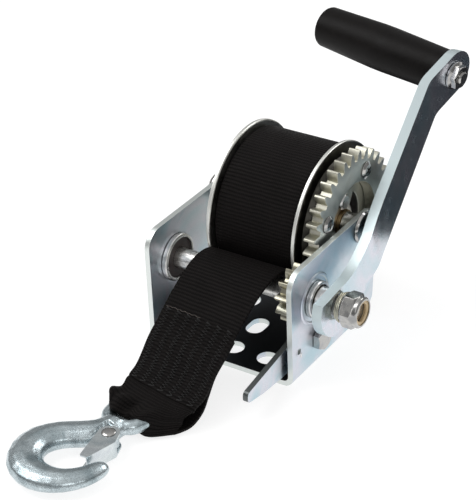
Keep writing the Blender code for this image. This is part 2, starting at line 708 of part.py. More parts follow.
def arm_face(distance):
    """X of the arm's inner face at a distance from the shaft."""
    lean = min(max(distance - LEAN_START, 0), LEAN_END - LEAN_START) * math.tan(LEAN)
    back = max(distance - LEAN_END, 0) * math.tan(TAB_LEAN)
    return ARM_X - lean + back


def build_arm(axis):
    """A flat bar bent twice, waisted above its hub, with a rounded tab, drilled for shaft and grip bolt."""
    middle = ARM / 2
    stations = (-40 * MM, LEAN_START, LEAN_END, CRANK_LENGTH + 40 * MM)
    path = rounded([(arm_face(r) + middle, r, 25 * MM) for r in stations], steps=6, closed=False)
    mesh = bent_sheet_mesh("crank_arm", path, -30 * MM, 30 * MM)
    mesh.transform(Matrix.Rotation(math.pi / 2, 4, "X"))
    mesh.transform(Matrix.Scale(-1, 4, (0, 1, 0)))
    mesh.flip_normals()
    arm = add_object("crank_arm", mesh, ZINC, 0.3, 1.0, axis)
    bar = arm.modifiers.new("bar", "SOLIDIFY")
    bar.thickness = ARM
    bar.offset = 0
    bar.use_even_offset = True
    upper = [(66.0, 13.2), (55.0, 12.6), (44.0, 11.0), (33.0, 7.8), (23.0, 6.0), (13.5, 6.5), (4.0, 9.3),
             (-6.0, 11.9), (-13.2, 14.0)]
    lower = [(-13.2, 14.0), (-17.0, 8.6), (-18.3, 2.5), (-17.0, -5.0), (-12.5, -12.0), (-4.0, -16.0),
             (10.0, -16.6), (34.0, -14.3), (52.0, -13.4), (66.0, -13.2)]
    half = 13.2 * MM
    outline = [tuple(point * MM) for point in smooth_path(upper, 2)[:-1] + smooth_path(lower, 2)]
    outline += arc((CRANK_LENGTH + 1.4 * MM, 0), half, math.radians(-88), math.radians(88), 12)
    trim = outline_mesh("arm_trim", [outline], 120 * MM, "XY", -20 * MM)
    trim.transform(Matrix(((0, 0, 1, 0), (1, 0, 0, 0), (0, 1, 0, 0), (0, 0, 0, 1))))
    boolean(arm, add_cutter("arm_trim", trim, axis), "INTERSECT")
    bolt = Vector((arm_face(CRANK_LENGTH), CRANK_LENGTH, 0))
    across = Vector((math.cos(TAB_LEAN), -math.sin(TAB_LEAN), 0)) * 20 * MM
    rods = [((40 * MM, 0, 0), (70 * MM, 0, 0), SHAFT_RADIUS + BORE_CLEARANCE, 0),
            (bolt - across, bolt + across, 4.3 * MM, 0)]
    boolean(arm, add_cutter("arm_holes", prism_mesh("arm_holes", rods, 20), axis), "DIFFERENCE")


def build_crank_fasteners(axis):
    """The conical spring, the self-locking nut and its nylon insert on the shaft's end."""
    outer_face = ARM_X + ARM
    wire, turns, per_turn = 0.5 * MM, 2.5, 12
    start, end = outer_face + GAP + wire, outer_face + 4.2 * MM - wire
    points = []
    for i in range(int(turns * per_turn) + 1):
        share = i / (turns * per_turn)
        angle = 2 * math.pi * turns * share
        radius = (7.4 + 1.3 * share) * MM
        points.append((start + (end - start) * share, radius * math.cos(angle), radius * math.sin(angle)))
    add_object("crank_spring", wire_mesh("crank_spring", points, wire), WARM, 0.3, 1.0, axis)

    low = outer_face + 4.6 * MM
    hex_end, high = low + 7.4 * MM, low + 10.2 * MM
    bore, seat = SHAFT_RADIUS + BORE_CLEARANCE, 7.7 * MM
    body = hex_mesh("crank_nut", low, hex_end, 18 * MM, (True, True))
    collar = [(7.9 * MM, high), (8.8 * MM, high - 0.9 * MM), (8.8 * MM, hex_end - MM), (0, hex_end - MM)]
    collar.insert(0, (0, high))
    body = join_meshes("crank_nut", body, turned_mesh("nut_collar", collar, steps=24), "UNION")
    ledge, lip = hex_end - 0.6 * MM, high - 0.5 * MM
    hole = [(0, high + MM), (7.0 * MM, high + MM), (7.0 * MM, lip), (seat, lip), (seat, ledge),
            (bore, ledge), (bore, low - MM), (0, low - MM)]
    body = join_meshes("crank_nut", body, turned_mesh("nut_bore", hole, steps=24), "DIFFERENCE")
    add_object("crank_nut", body, BRIGHT, 0.15, 1.0, axis)
    ring = [(7.4 * MM, lip - GAP), (7.4 * MM, ledge + GAP), (6.3 * MM, ledge + GAP),
            (6.3 * MM, ledge + 1.4 * MM), (5.3 * MM, ledge + 1.7 * MM), (5.3 * MM, lip - GAP)]
    mesh = turned_mesh("crank_nut_insert", ring, closed=True, steps=24)
    add_object("crank_nut_insert", mesh, (0.75, 0.55, 0.28), 0.4, 0.0, axis)


def build_grip(axis):
    """The grip bolt and nut, which stay with the arm, and the grip that turns on the bolt.

    Local X runs outwards along the bolt, and the arm's inner face is at local X = 0.
    """
    inner_end, outer_end = -GRIP_LENGTH - GAP, -GAP
    bolt_radius, recess = 4.0 * MM, 11.0 * MM
    head_low = inner_end + 3.6 * MM
    head_high = head_low + 5.5 * MM
    nut_low = ARM + GAP
    tip = nut_low + 6.8 * MM
    head = hex_mesh("grip_bolt", head_low, head_high, 13 * MM, (True, False))
    shank = [(0, tip), (bolt_radius - 0.8 * MM, tip), (bolt_radius, tip - 0.8 * MM),
             (bolt_radius, head_high - MM), (0, head_high - MM)]
    mesh = join_meshes("grip_bolt", head, turned_mesh("grip_shank", shank, steps=18), "UNION")
    add_object("grip_bolt", mesh, BRIGHT, 0.25, 1.0, axis)

    body = hex_mesh("grip_nut", nut_low + 0.6 * MM, nut_low + 5.2 * MM, 13 * MM, (False, True))
    skirt = [(0, nut_low + 2.2 * MM), (6.6 * MM, nut_low + 2.2 * MM), (8.6 * MM, nut_low + 1.1 * MM),
             (8.6 * MM, nut_low), (0, nut_low)]
    body = join_meshes("grip_nut", body, turned_mesh("nut_skirt", skirt, steps=24), "UNION")
    hole = prism_mesh("nut_bore", [((0, 0, 0), (20 * MM, 0, 0), bolt_radius + BORE_CLEARANCE, 0)], 18)
    add_object("grip_nut", join_meshes("grip_nut", body, hole, "DIFFERENCE"), BRIGHT, 0.2, 1.0, axis)

    middle = (inner_end + outer_end) / 2
    bore, pocket = bolt_radius + BORE_CLEARANCE, 8.6 * MM
    arm_end, far_end = 13.1 * MM, 12.7 * MM
    outer = [(arm_end, outer_end), (GRIP_RADIUS, middle + 4 * MM), (GRIP_RADIUS, middle - 4 * MM),
             (far_end, inner_end + 2.5 * MM), (far_end - 0.8 * MM, inner_end + 0.8 * MM),
             (far_end - 2.5 * MM, inner_end)]
    inner = [(pocket, inner_end), (pocket, inner_end + recess), (bore, inner_end + recess),
             (bore, outer_end)]
    mesh = turned_mesh("crank_grip", outer + inner, closed=True, steps=36)
    add_object("crank_grip", mesh, PLASTIC, 0.35, 0.0, axis)
    cap_radius = pocket - GAP
    cap = [(0, inner_end + 2.2 * MM), (cap_radius, inner_end + 2.2 * MM), (cap_radius, inner_end + 0.5 * MM),
           (cap_radius - 0.5 * MM, inner_end), (0, inner_end)]
    add_object("grip_end_cap", turned_mesh("grip_end_cap", cap, steps=24), PLASTIC, 0.4, 0.0, axis)


# ---------------------------------------------------------------- pawl

def pawl_outline():
    """Side view of the pawl: a long finger lever in front, two horns under the pinion."""
    corners = [(-75.5, 11.0, 2.6), (-60.0, 8.2, 12), (-40.0, 6.6, 20), (-12.0, 8.0, 6), (-2.0, 9.0, 6),
               (3.0, 20.0, 4), (5.5, 33.5, 1.2), (-2.0, 26.0, 2.5), (-21.0, 25.6, 1.5),
               (-27.4, 32.5, 1.2), (-28.5, 24.0, 3), (-75.0, 16.9, 2.4)]
    return rounded([(y * MM - PAWL_Y, z * MM - PAWL_Z, r * MM) for y, z, r in corners], steps=4)


def build_pawl():
    axis = add_axis("pawl_axis", (0, PAWL_Y, PAWL_Z))
    low, high = PAWL_X
    hole = circle((0, 0), 4.3 * MM, 18)
    mesh = outline_mesh("pawl_lever", [pawl_outline(), hole], high - low, "YZ", low)
    add_object("pawl_lever", mesh, ZINC, 0.3, 1.0, axis)


def build_pawl_fasteners():
    """The pivot bolt, its nut and spacer, and the wire spring hooked into the plate."""
    place = (0, PAWL_Y, PAWL_Z)
    head_low = OUTER_HALF + GAP
    radius, tip = 4.0 * MM, 32.8 * MM
    bolt = hex_bolt_mesh("pawl_pivot_bolt", head_low, head_low + 4.2 * MM, 13 * MM, tip, radius)
    add_object("pawl_pivot_bolt", bolt, BRIGHT, 0.25, 1.0).location = place
    high = PAWL_X[0] - GAP
    nut = nut_mesh("pawl_pivot_nut", high - 4.6 * MM, high, 13 * MM, radius + BORE_CLEARANCE)
    add_object("pawl_pivot_nut", nut, BRIGHT, 0.25, 1.0).location = place
    low, high = PAWL_X[1] + GAP, INNER_HALF - GAP
    outer, inner = 5.6 * MM, radius + BORE_CLEARANCE
    tube = [(outer, high), (outer, low), (inner, low), (inner, high)]
    spacer = turned_mesh("pawl_spacer", tube, closed=True, steps=18)
    add_object("pawl_spacer", spacer, BRIGHT, 0.3, 1.0).location = place

    wire, loop = 0.45 * MM, 6.9 * MM
    x = (low + high) / 2
    hole_y, hole_z = SPRING_HOLE[0] - PAWL_Y, SPRING_HOLE[1] - PAWL_Z
    points = [(OUTER_HALF + 1.4 * MM, hole_y - 0.8 * MM, hole_z - 2.6 * MM),
              (OUTER_HALF + 1.4 * MM, hole_y - 0.4 * MM, hole_z - 0.6 * MM),
              (OUTER_HALF + 0.6 * MM, hole_y, hole_z), (x + 0.5 * MM, hole_y, hole_z),
              (x, hole_y + 0.6 * MM, hole_z)]
    start, end, steps = math.radians(104), math.radians(-150), 12
    for i in range(steps + 1):
        angle = start + (end - start) * i / steps
        points.append((x, loop * math.cos(angle), loop * math.sin(angle)))
    points.append((x, -loop - 5 * MM, -4 * MM))
    mesh = wire_mesh("pawl_spring", points, wire)
    add_object("pawl_spring", mesh, BRIGHT, 0.25, 1.0).location = place


# ---------------------------------------------------------------- strap

def smooth_path(points, per_span):
    """Catmull-Rom curve through the points."""
    vectors = [Vector(p) for p in points]
    vectors = [2 * vectors[0] - vectors[1]] + vectors + [2 * vectors[-1] - vectors[-2]]
    result = []
    for a, b, c, d in zip(vectors, vectors[1:], vectors[2:], vectors[3:]):
        for i in range(per_span):
            t = i / per_span
            result.append(0.5 * ((2 * b) + (c - a) * t + (2 * a - 5 * b + 4 * c - d) * t ** 2
                                 + (3 * b - a - 3 * c + d) * t ** 3))
    result.append(vectors[-2])
    return result


def strap_path():
    """Side view (y, z) of the strap's middle surface: off the roll, over the shaft, down to
    the hook's bar, around it, and back underneath to the end of the stitching."""
    half = STRAP / 2
    wrap = ROLL_RADIUS + 0.5 * MM + half
    off_roll = arc((AXLE_Y, AXLE_Z), wrap, math.radians(180 + 72), math.radians(180 + 29), 7)
    top = [(-5.6, 50.4), (-10.5, 53.6), (-17.5, 54.6), (-26.0, 53.0), (-36.0, 47.8), (-46.0, 40.6),
           (-56.0, 32.0), (-66.0, 24.2), (-76.0, 18.2), (-86.0, 14.4)]
    top = [(y * MM, z * MM) for y, z in top]
    ring = BAR_RADIUS + 0.35 * MM + half
    bar = (HOOK_AT.y, HOOK_AT.z)
    loop = arc(bar, ring, math.radians(98), math.radians(268), 10)
    upper = [tuple(p) for p in smooth_path(off_roll[-1:] + top + loop[:1], 2)]
    under = [(-92.5, 1.7), (-86.0, 7.0), (-79.0, 13.4), (-70.0, 18.8), (-62.0, 24.4), (-53.5, 31.4)]
    under = [(y * MM, z * MM) for y, z in under]
    back = [tuple(p) for p in smooth_path(loop[-1:] + under, 2)]
    return off_roll[:-1] + upper + loop[1:-1] + back


def build_strap_tail():
    """The free strap as one folded sheet, drawn sideways to the hook and gathered at its bar."""
    path = strap_path()
    columns = 4
    gather_start, gather_end = -87.5 * MM, -95 * MM
    full, gathered = STRAP_WIDTH / 2, 7.0 * MM
    work = bmesh.new()
    rows = []
    for y, z in path:
        run = min(max(-y - 8 * MM, 0) / (-HOOK_AT.y - 8 * MM), 1)
        past_bar = min(y - HOOK_AT.y, 0)
        centre = STRAP_X + (HOOK_AT.x - STRAP_X) * run + past_bar * math.tan(HOOK_HEADING)
        share = min(max((gather_start - y) / (gather_start - gather_end), 0), 1)
        share = share * share * (3 - 2 * share)
        half_width = full + (gathered - full) * share
        turn = HOOK_HEADING * run
        row = []
        for i in range(columns + 1):
            across = (2 * i / columns - 1) * half_width
            place = (centre + across * math.cos(turn), y - across * math.sin(turn), z)
            row.append(work.verts.new(place))
        rows.append(row)
    for first, second in zip(rows, rows[1:]):
        for i in range(columns):
            work.faces.new((first[i], first[i + 1], second[i + 1], second[i]))
    mesh = bpy.data.meshes.new("strap_tail")
    work.to_mesh(mesh)
    work.free()
    strap = add_object("strap_tail", mesh, WEBBING, 0.7, 0.0)
    sheet = strap.modifiers.new("webbing", "SOLIDIFY")
    sheet.thickness = STRAP
    sheet.offset = 0
    sheet.use_even_offset = True


# ---------------------------------------------------------------- hook

def build_hook():
    """The forged hook, its latch rivet, the latch spring and the latch."""
    axis = add_axis("hook_axis", HOOK_AT, (0, 0, -math.pi / 2 - HOOK_HEADING))
    add_object("tow_hook", hook_mesh(), ZINC, 0.45, 1.0, axis)
    build_rivet(axis)
    latch_axis = add_axis("latch_axis", RIVET_AT, parent=axis)
    build_latch(latch_axis)
    leaf = [(37.8, 6.4), (40.0, 8.3), (44.0, 7.9), (47.0, 6.0)]
    points = [(x * MM, y * MM, 0) for x, y in leaf]
    add_object("latch_spring", wire_mesh("latch_spring", points, 0.4 * MM), BRIGHT, 0.25, 1.0, axis)


def hook_mesh():
    """An eye with a straight strap bar, a neck, and a bowl that tapers to its tip."""
    half_width, eye_length = 13.0 * MM, 19.0 * MM
    corners = [(0, -half_width, 4.8 * MM), (0, half_width, 4.8 * MM),
               (eye_length, half_width * 0.66, 6 * MM), (eye_length, -half_width * 0.66, 6 * MM)]
    loop = [(x, y, 0) for x, y in rounded(corners, steps=5)]
    eye = wire_mesh("hook_eye", loop, BAR_RADIUS, 3, cyclic=True)
    route = [(19.5, 0.0, 8.4), (25.0, 0.4, 9.0), (31, -1.4, 9.2), (37.5, -7.6, 9.0), (44.5, -14.8, 9.2),
             (54, -19.6, 9.7), (63.5, -18.2, 9.9), (71, -12.0, 9.8), (74.6, -3.0, 9.4), (73.5, 6.5, 8.6),
             (68.5, 14.5, 7.6), (61.0, 19.6, 6.8), (54.0, 21.4, 6.0), (49.5, 21.6, 5.0), (47.0, 21.5, 3.2)]
    neck_end, stretch = 19.5, 1.03
    route = [(neck_end + (x - neck_end) * stretch, y, r) for x, y, r in route]
    fine = smooth_path([(x, y, 0) for x, y, r in route], 2)
    radii = [v.x for v in smooth_path([(r, 0, 0) for x, y, r in route], 2)]
    biggest = max(radii)
    body = wire_mesh("hook_body", [v * MM for v in fine], biggest * MM, 4, [r / biggest for r in radii])
    body.transform(Matrix.Scale(0.665, 4, (0, 0, 1)))
    mesh = join_meshes("tow_hook", eye, body, "UNION")
    lug_radius, lug_half = 5.2 * MM, Vector((0, 0, 5.0 * MM))
    lug = prism_mesh("latch_lug", [(RIVET_AT - lug_half, RIVET_AT + lug_half, lug_radius, 0)], 20)
    mesh = join_meshes("tow_hook", mesh, lug, "UNION")
    flat, low, high = CHEEK_OUTER - LATCH_SHEET - GAP, (25.2 * MM, 1.0 * MM), (43 * MM, 22 * MM)
    for near, far in ((flat, 20 * MM), (-20 * MM, -flat)):
        recess = box_mesh("latch_recess", (*low, near), (*high, far))
        mesh = join_meshes("tow_hook", mesh, recess, "DIFFERENCE")
    hole = prism_mesh("rivet_hole", [(RIVET_AT - Vector((0, 0, 0.02)), RIVET_AT + Vector((0, 0, 0.02)),
                                      2.5 * MM, 0)], 20)
    mesh = join_meshes("tow_hook", mesh, hole, "DIFFERENCE")
    return mesh


def build_rivet(axis):
    """A round rivet with a thin head on each cheek."""
    seat, head, shank = CHEEK_OUTER + 0.1 * MM, 3.9 * MM, 2.2 * MM
    top, bottom = seat + 0.8 * MM, -seat - 0.6 * MM
    profile = [(0, top), (head - 1.2 * MM, top), (head, seat + 0.3 * MM), (head, seat), (shank, seat),
               (shank, -seat), (head, -seat), (head, -seat - 0.2 * MM), (head - MM, bottom), (0, bottom)]
    mesh = turned_mesh("latch_rivet", profile, steps=18)
    mesh.transform(Matrix.Rotation(-math.pi / 2, 4, "Y"))
    rivet = add_object("latch_rivet", mesh, BRIGHT, 0.3, 1.0, axis)
    rivet.location = RIVET_AT


def build_latch(axis):
    """A folded latch: two cheeks on the rivet joined by an outer wall. Local origin on the rivet."""
    boss = 6.0 * MM
    wall_start, wall_end = (3.6 * MM, 8.6 * MM), (21.5 * MM, 6.9 * MM)
    nose = (22.8 * MM, 2.4 * MM)
    outline = arc((0, 0), boss, math.radians(110), math.radians(285), 10)
    outline += rounded([(2.4 * MM, -5.4 * MM, 0), (*nose, 1.0 * MM), (*wall_end, 0.8 * MM),
                        (*wall_start, 2.0 * MM), (-2.0 * MM, 5.6 * MM, 0)], steps=4, closed=False)
    solid = outline_mesh("hook_latch", [outline], 2 * CHEEK_OUTER, "XY", -CHEEK_OUTER)
    inner = CHEEK_OUTER - LATCH_SHEET
    far, wide = 40 * MM, -20 * MM
    slope = (wall_end[1] - wall_start[1]) / (wall_end[0] - wall_start[0])
    inside = wall_start[1] - LATCH_SHEET
    slot = [(wide, wide), (far, wide), (far, inside + slope * (far - wall_start[0])),
            (wall_start[0], inside), (wide, inside)]
    hollow = outline_mesh("latch_hollow", [slot], 2 * inner, "XY", -inner)
    mesh = join_meshes("hook_latch", solid, hollow, "DIFFERENCE")
    hole = prism_mesh("latch_hole", [((0, 0, -0.02), (0, 0, 0.02), 2.5 * MM, 0)], 20)
    mesh = join_meshes("hook_latch", mesh, hole, "DIFFERENCE")
    add_object("hook_latch", mesh, BRIGHT, 0.35, 1.0, axis)


def main():
    build_frame()
    build_bearings()
    build_axle()
    build_drum()
    build_crank()
    build_pawl()
    build_pawl_fasteners()
    build_strap_tail()
    build_hook()
    bpy.context.view_layer.update()


main()
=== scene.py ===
"""Looks of the boat trailer winch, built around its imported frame.

Units are metres and Z is up. The strap leaves towards -Y and the crank is at +X.
"""

import json
import math

import bmesh
import bpy
import numpy as np
from mathutils import Matrix, Vector


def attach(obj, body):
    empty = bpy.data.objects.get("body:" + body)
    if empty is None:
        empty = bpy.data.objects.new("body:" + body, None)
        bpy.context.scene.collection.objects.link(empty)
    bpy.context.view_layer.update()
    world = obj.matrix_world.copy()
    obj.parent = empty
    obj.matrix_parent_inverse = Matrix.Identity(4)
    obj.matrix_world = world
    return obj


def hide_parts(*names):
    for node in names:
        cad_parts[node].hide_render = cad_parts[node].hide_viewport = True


MM = 0.001

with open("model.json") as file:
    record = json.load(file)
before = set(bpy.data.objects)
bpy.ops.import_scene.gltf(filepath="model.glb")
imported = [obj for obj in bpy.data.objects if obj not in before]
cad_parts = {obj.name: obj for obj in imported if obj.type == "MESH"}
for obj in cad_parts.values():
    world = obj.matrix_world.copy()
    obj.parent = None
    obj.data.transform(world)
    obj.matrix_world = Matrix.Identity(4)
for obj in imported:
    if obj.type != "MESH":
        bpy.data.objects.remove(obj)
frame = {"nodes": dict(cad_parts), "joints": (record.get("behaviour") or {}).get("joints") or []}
nodes = frame["nodes"]
joints = {joint["name"]: joint for joint in frame["joints"]}
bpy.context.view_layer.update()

# Places from the frame
AXLE = joints["drum_spin"]["pos_m"][1:]         # drum axle (y, z)
ROLL_BOX = np.array(nodes["strap_roll"].bound_box)
ROLL_MIDDLE = (ROLL_BOX.max(axis=0) + ROLL_BOX.min(axis=0)) / 2
ROLL_REACH = (ROLL_BOX.max(axis=0) - ROLL_BOX.min(axis=0)) / 2
STRAP_X = ROLL_MIDDLE[0]                        # the strap's middle on the drum
STRAP_HALF = ROLL_REACH[0]                      # half the strap's width
ROLL_RADIUS = ROLL_REACH[1]
HOOK_AT = Vector(joints["hook_swing"]["pos_m"])             # middle of the bar under the strap's fold
HOOK_AXIS = joints["hook_swing"]["axis"]
HOOK_HEADING = math.atan2(HOOK_AXIS[1], -HOOK_AXIS[0])      # turned from -Y towards -X

# Sizes that the frame doesn't give
ROLL_BORE = 22.4 * MM
STRAP = 1.6 * MM                                # thickness

# Surface detail, in millimetres
DARK_BAND_RADIUS = 31.0                               # the right flange is darker from here
RIM_RADIUS = 45.4                               # to its bright rim
WEB_TOP = 5.0                                   # a height just above the frame's web
RIB_PITCH = 2.1                                 # webbing ribs along the strap
YARN_PITCH = 1.15                               # lengthwise yarns across it
LAYER_PITCH = 1.65                              # wound layers, with the slack between them


# ---------------------------------------------------------------- shader helpers

def add_node(tree, kind, **settings):
    made = tree.nodes.new(kind)
    for key, value in settings.items():
        setattr(made, key, value)
    return made


def put(tree, socket, value):
    """Links an output to a socket, or sets the socket's own value."""
    if isinstance(value, bpy.types.NodeSocket):
        tree.links.new(value, socket)
    else:
        socket.default_value = value


def maths(tree, operation, a, b=0.0, clamp=False):
    made = add_node(tree, "ShaderNodeMath", operation=operation, use_clamp=clamp)
    put(tree, made.inputs[0], a)
    put(tree, made.inputs[1], b)
    return made.outputs[0]


def parts_of(tree, vector):
    """The vector's X, Y and Z outputs."""
    split = add_node(tree, "ShaderNodeSeparateXYZ")
    tree.links.new(vector, split.inputs[0])
    return split.outputs


def ridges(tree, value, pitch):
    """One rounded ridge for each pitch of value, from 0 to 1."""
    return maths(tree, "ABSOLUTE", maths(tree, "SINE", maths(tree, "MULTIPLY", value, math.pi / pitch)))


def millimetres(tree, stretch=(1, 1, 1)):
    """The piece's own coordinates in millimetres."""
    place = add_node(tree, "ShaderNodeTexCoord")
    scaled = add_node(tree, "ShaderNodeMapping")
    scaled.inputs["Scale"].default_value = [1000 * s for s in stretch]
    tree.links.new(place.outputs["Object"], scaled.inputs["Vector"])
    return scaled.outputs["Vector"]


def noise(tree, vector, scale, detail=4.0, roughness=0.55, distortion=0.0):
    made = add_node(tree, "ShaderNodeTexNoise")
    tree.links.new(vector, made.inputs["Vector"])
    made.inputs["Scale"].default_value = scale
    made.inputs["Detail"].default_value = detail
    made.inputs["Roughness"].default_value = roughness
    made.inputs["Distortion"].default_value = distortion
    return made.outputs["Fac"]


def ramp(tree, factor, stops):
    """A colour ramp; a stop is (place, grey) or (place, (r, g, b))."""
    made = add_node(tree, "ShaderNodeValToRGB")
    elements = made.color_ramp.elements
    while len(elements) < len(stops):
        elements.new(0.5)
    for element, (place, value) in zip(elements, stops):
        element.position = place
        element.color = (*value, 1) if isinstance(value, tuple) else (value, value, value, 1)
    tree.links.new(factor, made.inputs["Fac"])
    return made.outputs["Color"]


def mix(tree, factor, a, b, blend="MIX"):
    made = add_node(tree, "ShaderNodeMix", data_type="RGBA", blend_type=blend)
    put(tree, made.inputs["Factor"], factor)
    for socket, value in ((made.inputs[6], a), (made.inputs[7], b)):
        put(tree, socket, (*value, 1) if isinstance(value, tuple) else value)
    return made.outputs[2]


def bump(tree, height, distance, strength=1.0, normal=None):
    made = add_node(tree, "ShaderNodeBump")
    made.inputs["Distance"].default_value = distance
    made.inputs["Strength"].default_value = strength
    tree.links.new(height, made.inputs["Height"])
    if normal is not None:
        tree.links.new(normal, made.inputs["Normal"])
    return made.outputs["Normal"]


def new_material(name, metallic):
    made = bpy.data.materials.new(name)
    made.use_nodes = True
    tree = made.node_tree
    shader = tree.nodes["Principled BSDF"]
    shader.inputs["Metallic"].default_value = metallic
    return made, tree, shader


# ---------------------------------------------------------------- metal finishes

EDGE_ROUGHNESS = (0.42, 0.42, 0.42)             # of a sheet's cut edges


def between_radii(tree, start, end):
    """1 where the distance from the drum axle, in millimetres, lies between start and end."""
    flattened = add_node(tree, "ShaderNodeVectorMath", operation="MULTIPLY")
    tree.links.new(millimetres(tree), flattened.inputs[0])
    flattened.inputs[1].default_value = (0, 1, 1)
    radius = add_node(tree, "ShaderNodeVectorMath", operation="DISTANCE")
    tree.links.new(flattened.outputs[0], radius.inputs[0])
    radius.inputs[1].default_value = (0, AXLE[0] / MM, AXLE[1] / MM)
    outside = maths(tree, "GREATER_THAN", radius.outputs["Value"], start)
    inside = maths(tree, "LESS_THAN", radius.outputs["Value"], end)
    return maths(tree, "MULTIPLY", outside, inside)


def plated_steel(name, tones, roughness, blotch=0.035, grain=1.6, relief=0.02, stretch=(1, 1, 1),
                 painted_edge_shading=None, painted_web_reflection=None, dark_band_tone=None):
    """Zinc-plated steel: drifting passivation colours, fine grain, and other tones on some faces.

    Faces that don't look along X take painted edge shading: a painted highlight on most pieces' side faces,
    painted shade on the pawl's.
    Faces that look up from the frame's web take a painted reflection of the dark strap.
    Between the dark band's radius and the rim, the sheet takes a darker tone.
    """
    made, tree, shader = new_material(name, 1.0)
    place = millimetres(tree, stretch)
    drift = noise(tree, place, blotch, 3.0, 0.5, 0.6)
    spread = [(0.30 + 0.40 * i / (len(tones) - 1), tone) for i, tone in enumerate(tones)]
    colour = ramp(tree, drift, spread)
    speckle = noise(tree, place, grain, 5.0, 0.65)
    colour = mix(tree, 0.35, colour, ramp(tree, speckle, [(0.3, 0.72), (0.7, 1.0)]), "MULTIPLY")
    smudge = noise(tree, place, blotch * 4, 5.0, 0.6)
    low, high = roughness
    wear = maths(tree, "ADD", maths(tree, "MULTIPLY", smudge, 0.7), maths(tree, "MULTIPLY", speckle, 0.3))
    rough = ramp(tree, wear, [(0.3, low), (0.7, high)])
    facing = parts_of(tree, add_node(tree, "ShaderNodeNewGeometry").outputs["Normal"])
    # Painted light: side faces take a set tone that stands in for the highlights and shade falling on them
    if painted_edge_shading:
        edge = ramp(tree, maths(tree, "ABSOLUTE", facing["X"]), [(0.55, 1.0), (0.72, 0.0)])
        colour = mix(tree, edge, colour, painted_edge_shading)
        rough = mix(tree, edge, rough, EDGE_ROUGHNESS)
    # The sheet is darker between these two radii around the drum axle
    if dark_band_tone:
        colour = mix(tree, between_radii(tree, DARK_BAND_RADIUS, RIM_RADIUS), colour, dark_band_tone)
    # Painted reflection: near the web, faces looking up are painted dark for the black strap mirrored there
    if painted_web_reflection:
        under = maths(tree, "LESS_THAN", parts_of(tree, millimetres(tree))["Z"], WEB_TOP)
        web_reflection_mask = maths(tree, "MULTIPLY", ramp(tree, facing["Z"], [(0.6, 0.0), (0.9, 1.0)]), under)
        colour = mix(tree, web_reflection_mask, colour, painted_web_reflection)
    tree.links.new(colour, shader.inputs["Base Color"])
    tree.links.new(rough, shader.inputs["Roughness"])
    tree.links.new(bump(tree, speckle, relief * MM), shader.inputs["Normal"])
    return made


def forged_zinc():
    """The hook's hot-dip look: pale grey with a crystalline grain and scattered darker pits."""
    made, tree, shader = new_material("forged_zinc", 1.0)
    place = millimetres(tree)
    broad = noise(tree, place, 0.06, 3.0, 0.5, 0.5)
    fine = noise(tree, place, 1.3, 6.0, 0.7)
    cells = add_node(tree, "ShaderNodeTexVoronoi", feature="F1")
    tree.links.new(place, cells.inputs["Vector"])
    cells.inputs["Scale"].default_value = 0.9
    colour = ramp(tree, broad, [(0.3, (0.34, 0.42, 0.45)), (0.52, (0.62, 0.70, 0.73)),
                                (0.72, (0.41, 0.48, 0.51))])
    mottled = ramp(tree, fine, [(0.38, 0.30), (0.54, 1.0)])
    colour = mix(tree, 0.58, colour, mottled, "MULTIPLY")
    crystals = maths(tree, "MULTIPLY", cells.outputs["Distance"], 0.25)
    height = maths(tree, "ADD", maths(tree, "MULTIPLY", fine, 0.8), crystals)
    tree.links.new(colour, shader.inputs["Base Color"])
    tree.links.new(ramp(tree, fine, [(0.3, 0.42), (0.65, 0.20)]), shader.inputs["Roughness"])
    tree.links.new(bump(tree, height, 0.10 * MM), shader.inputs["Normal"])
    return made


def moulded_plastic():
    """Satin black plastic with a fine spark-eroded texture and faint scuffs."""
    made, tree, shader = new_material("moulded_black", 0.0)
    place = millimetres(tree)
    grain = noise(tree, place, 2.6, 3.0, 0.6)
    scuffs = noise(tree, place, 0.12, 6.0, 0.7, 1.5)
    colour = ramp(tree, scuffs, [(0.35, (0.0034, 0.0027, 0.0025)), (0.75, (0.0070, 0.0057, 0.0053))])
    tree.links.new(colour, shader.inputs["Base Color"])
    tree.links.new(ramp(tree, scuffs, [(0.3, 0.40), (0.7, 0.54)]), shader.inputs["Roughness"])
    shader.inputs["Specular IOR Level"].default_value = 0.12
    tree.links.new(bump(tree, grain, 0.012 * MM), shader.inputs["Normal"])
    return made


def simple_plastic(name, dark, light, roughness):
    made, tree, shader = new_material(name, 0.0)
    place = millimetres(tree)
    drift = noise(tree, place, 0.5, 4.0, 0.6)
    tree.links.new(ramp(tree, drift, [(0.3, dark), (0.7, light)]), shader.inputs["Base Color"])
    tree.links.new(ramp(tree, drift, [(0.3, roughness), (0.7, roughness + 0.12)]), shader.inputs["Roughness"])
    tree.links.new(bump(tree, drift, 0.03 * MM), shader.inputs["Normal"])
    return made


# ---------------------------------------------------------------- webbing finishes

def strap_place(tree):
    """Places on the strap in millimetres, from its UV: X across it and Y along it."""
    return parts_of(tree, add_node(tree, "ShaderNodeUVMap", uv_map="strap").outputs["UV"])


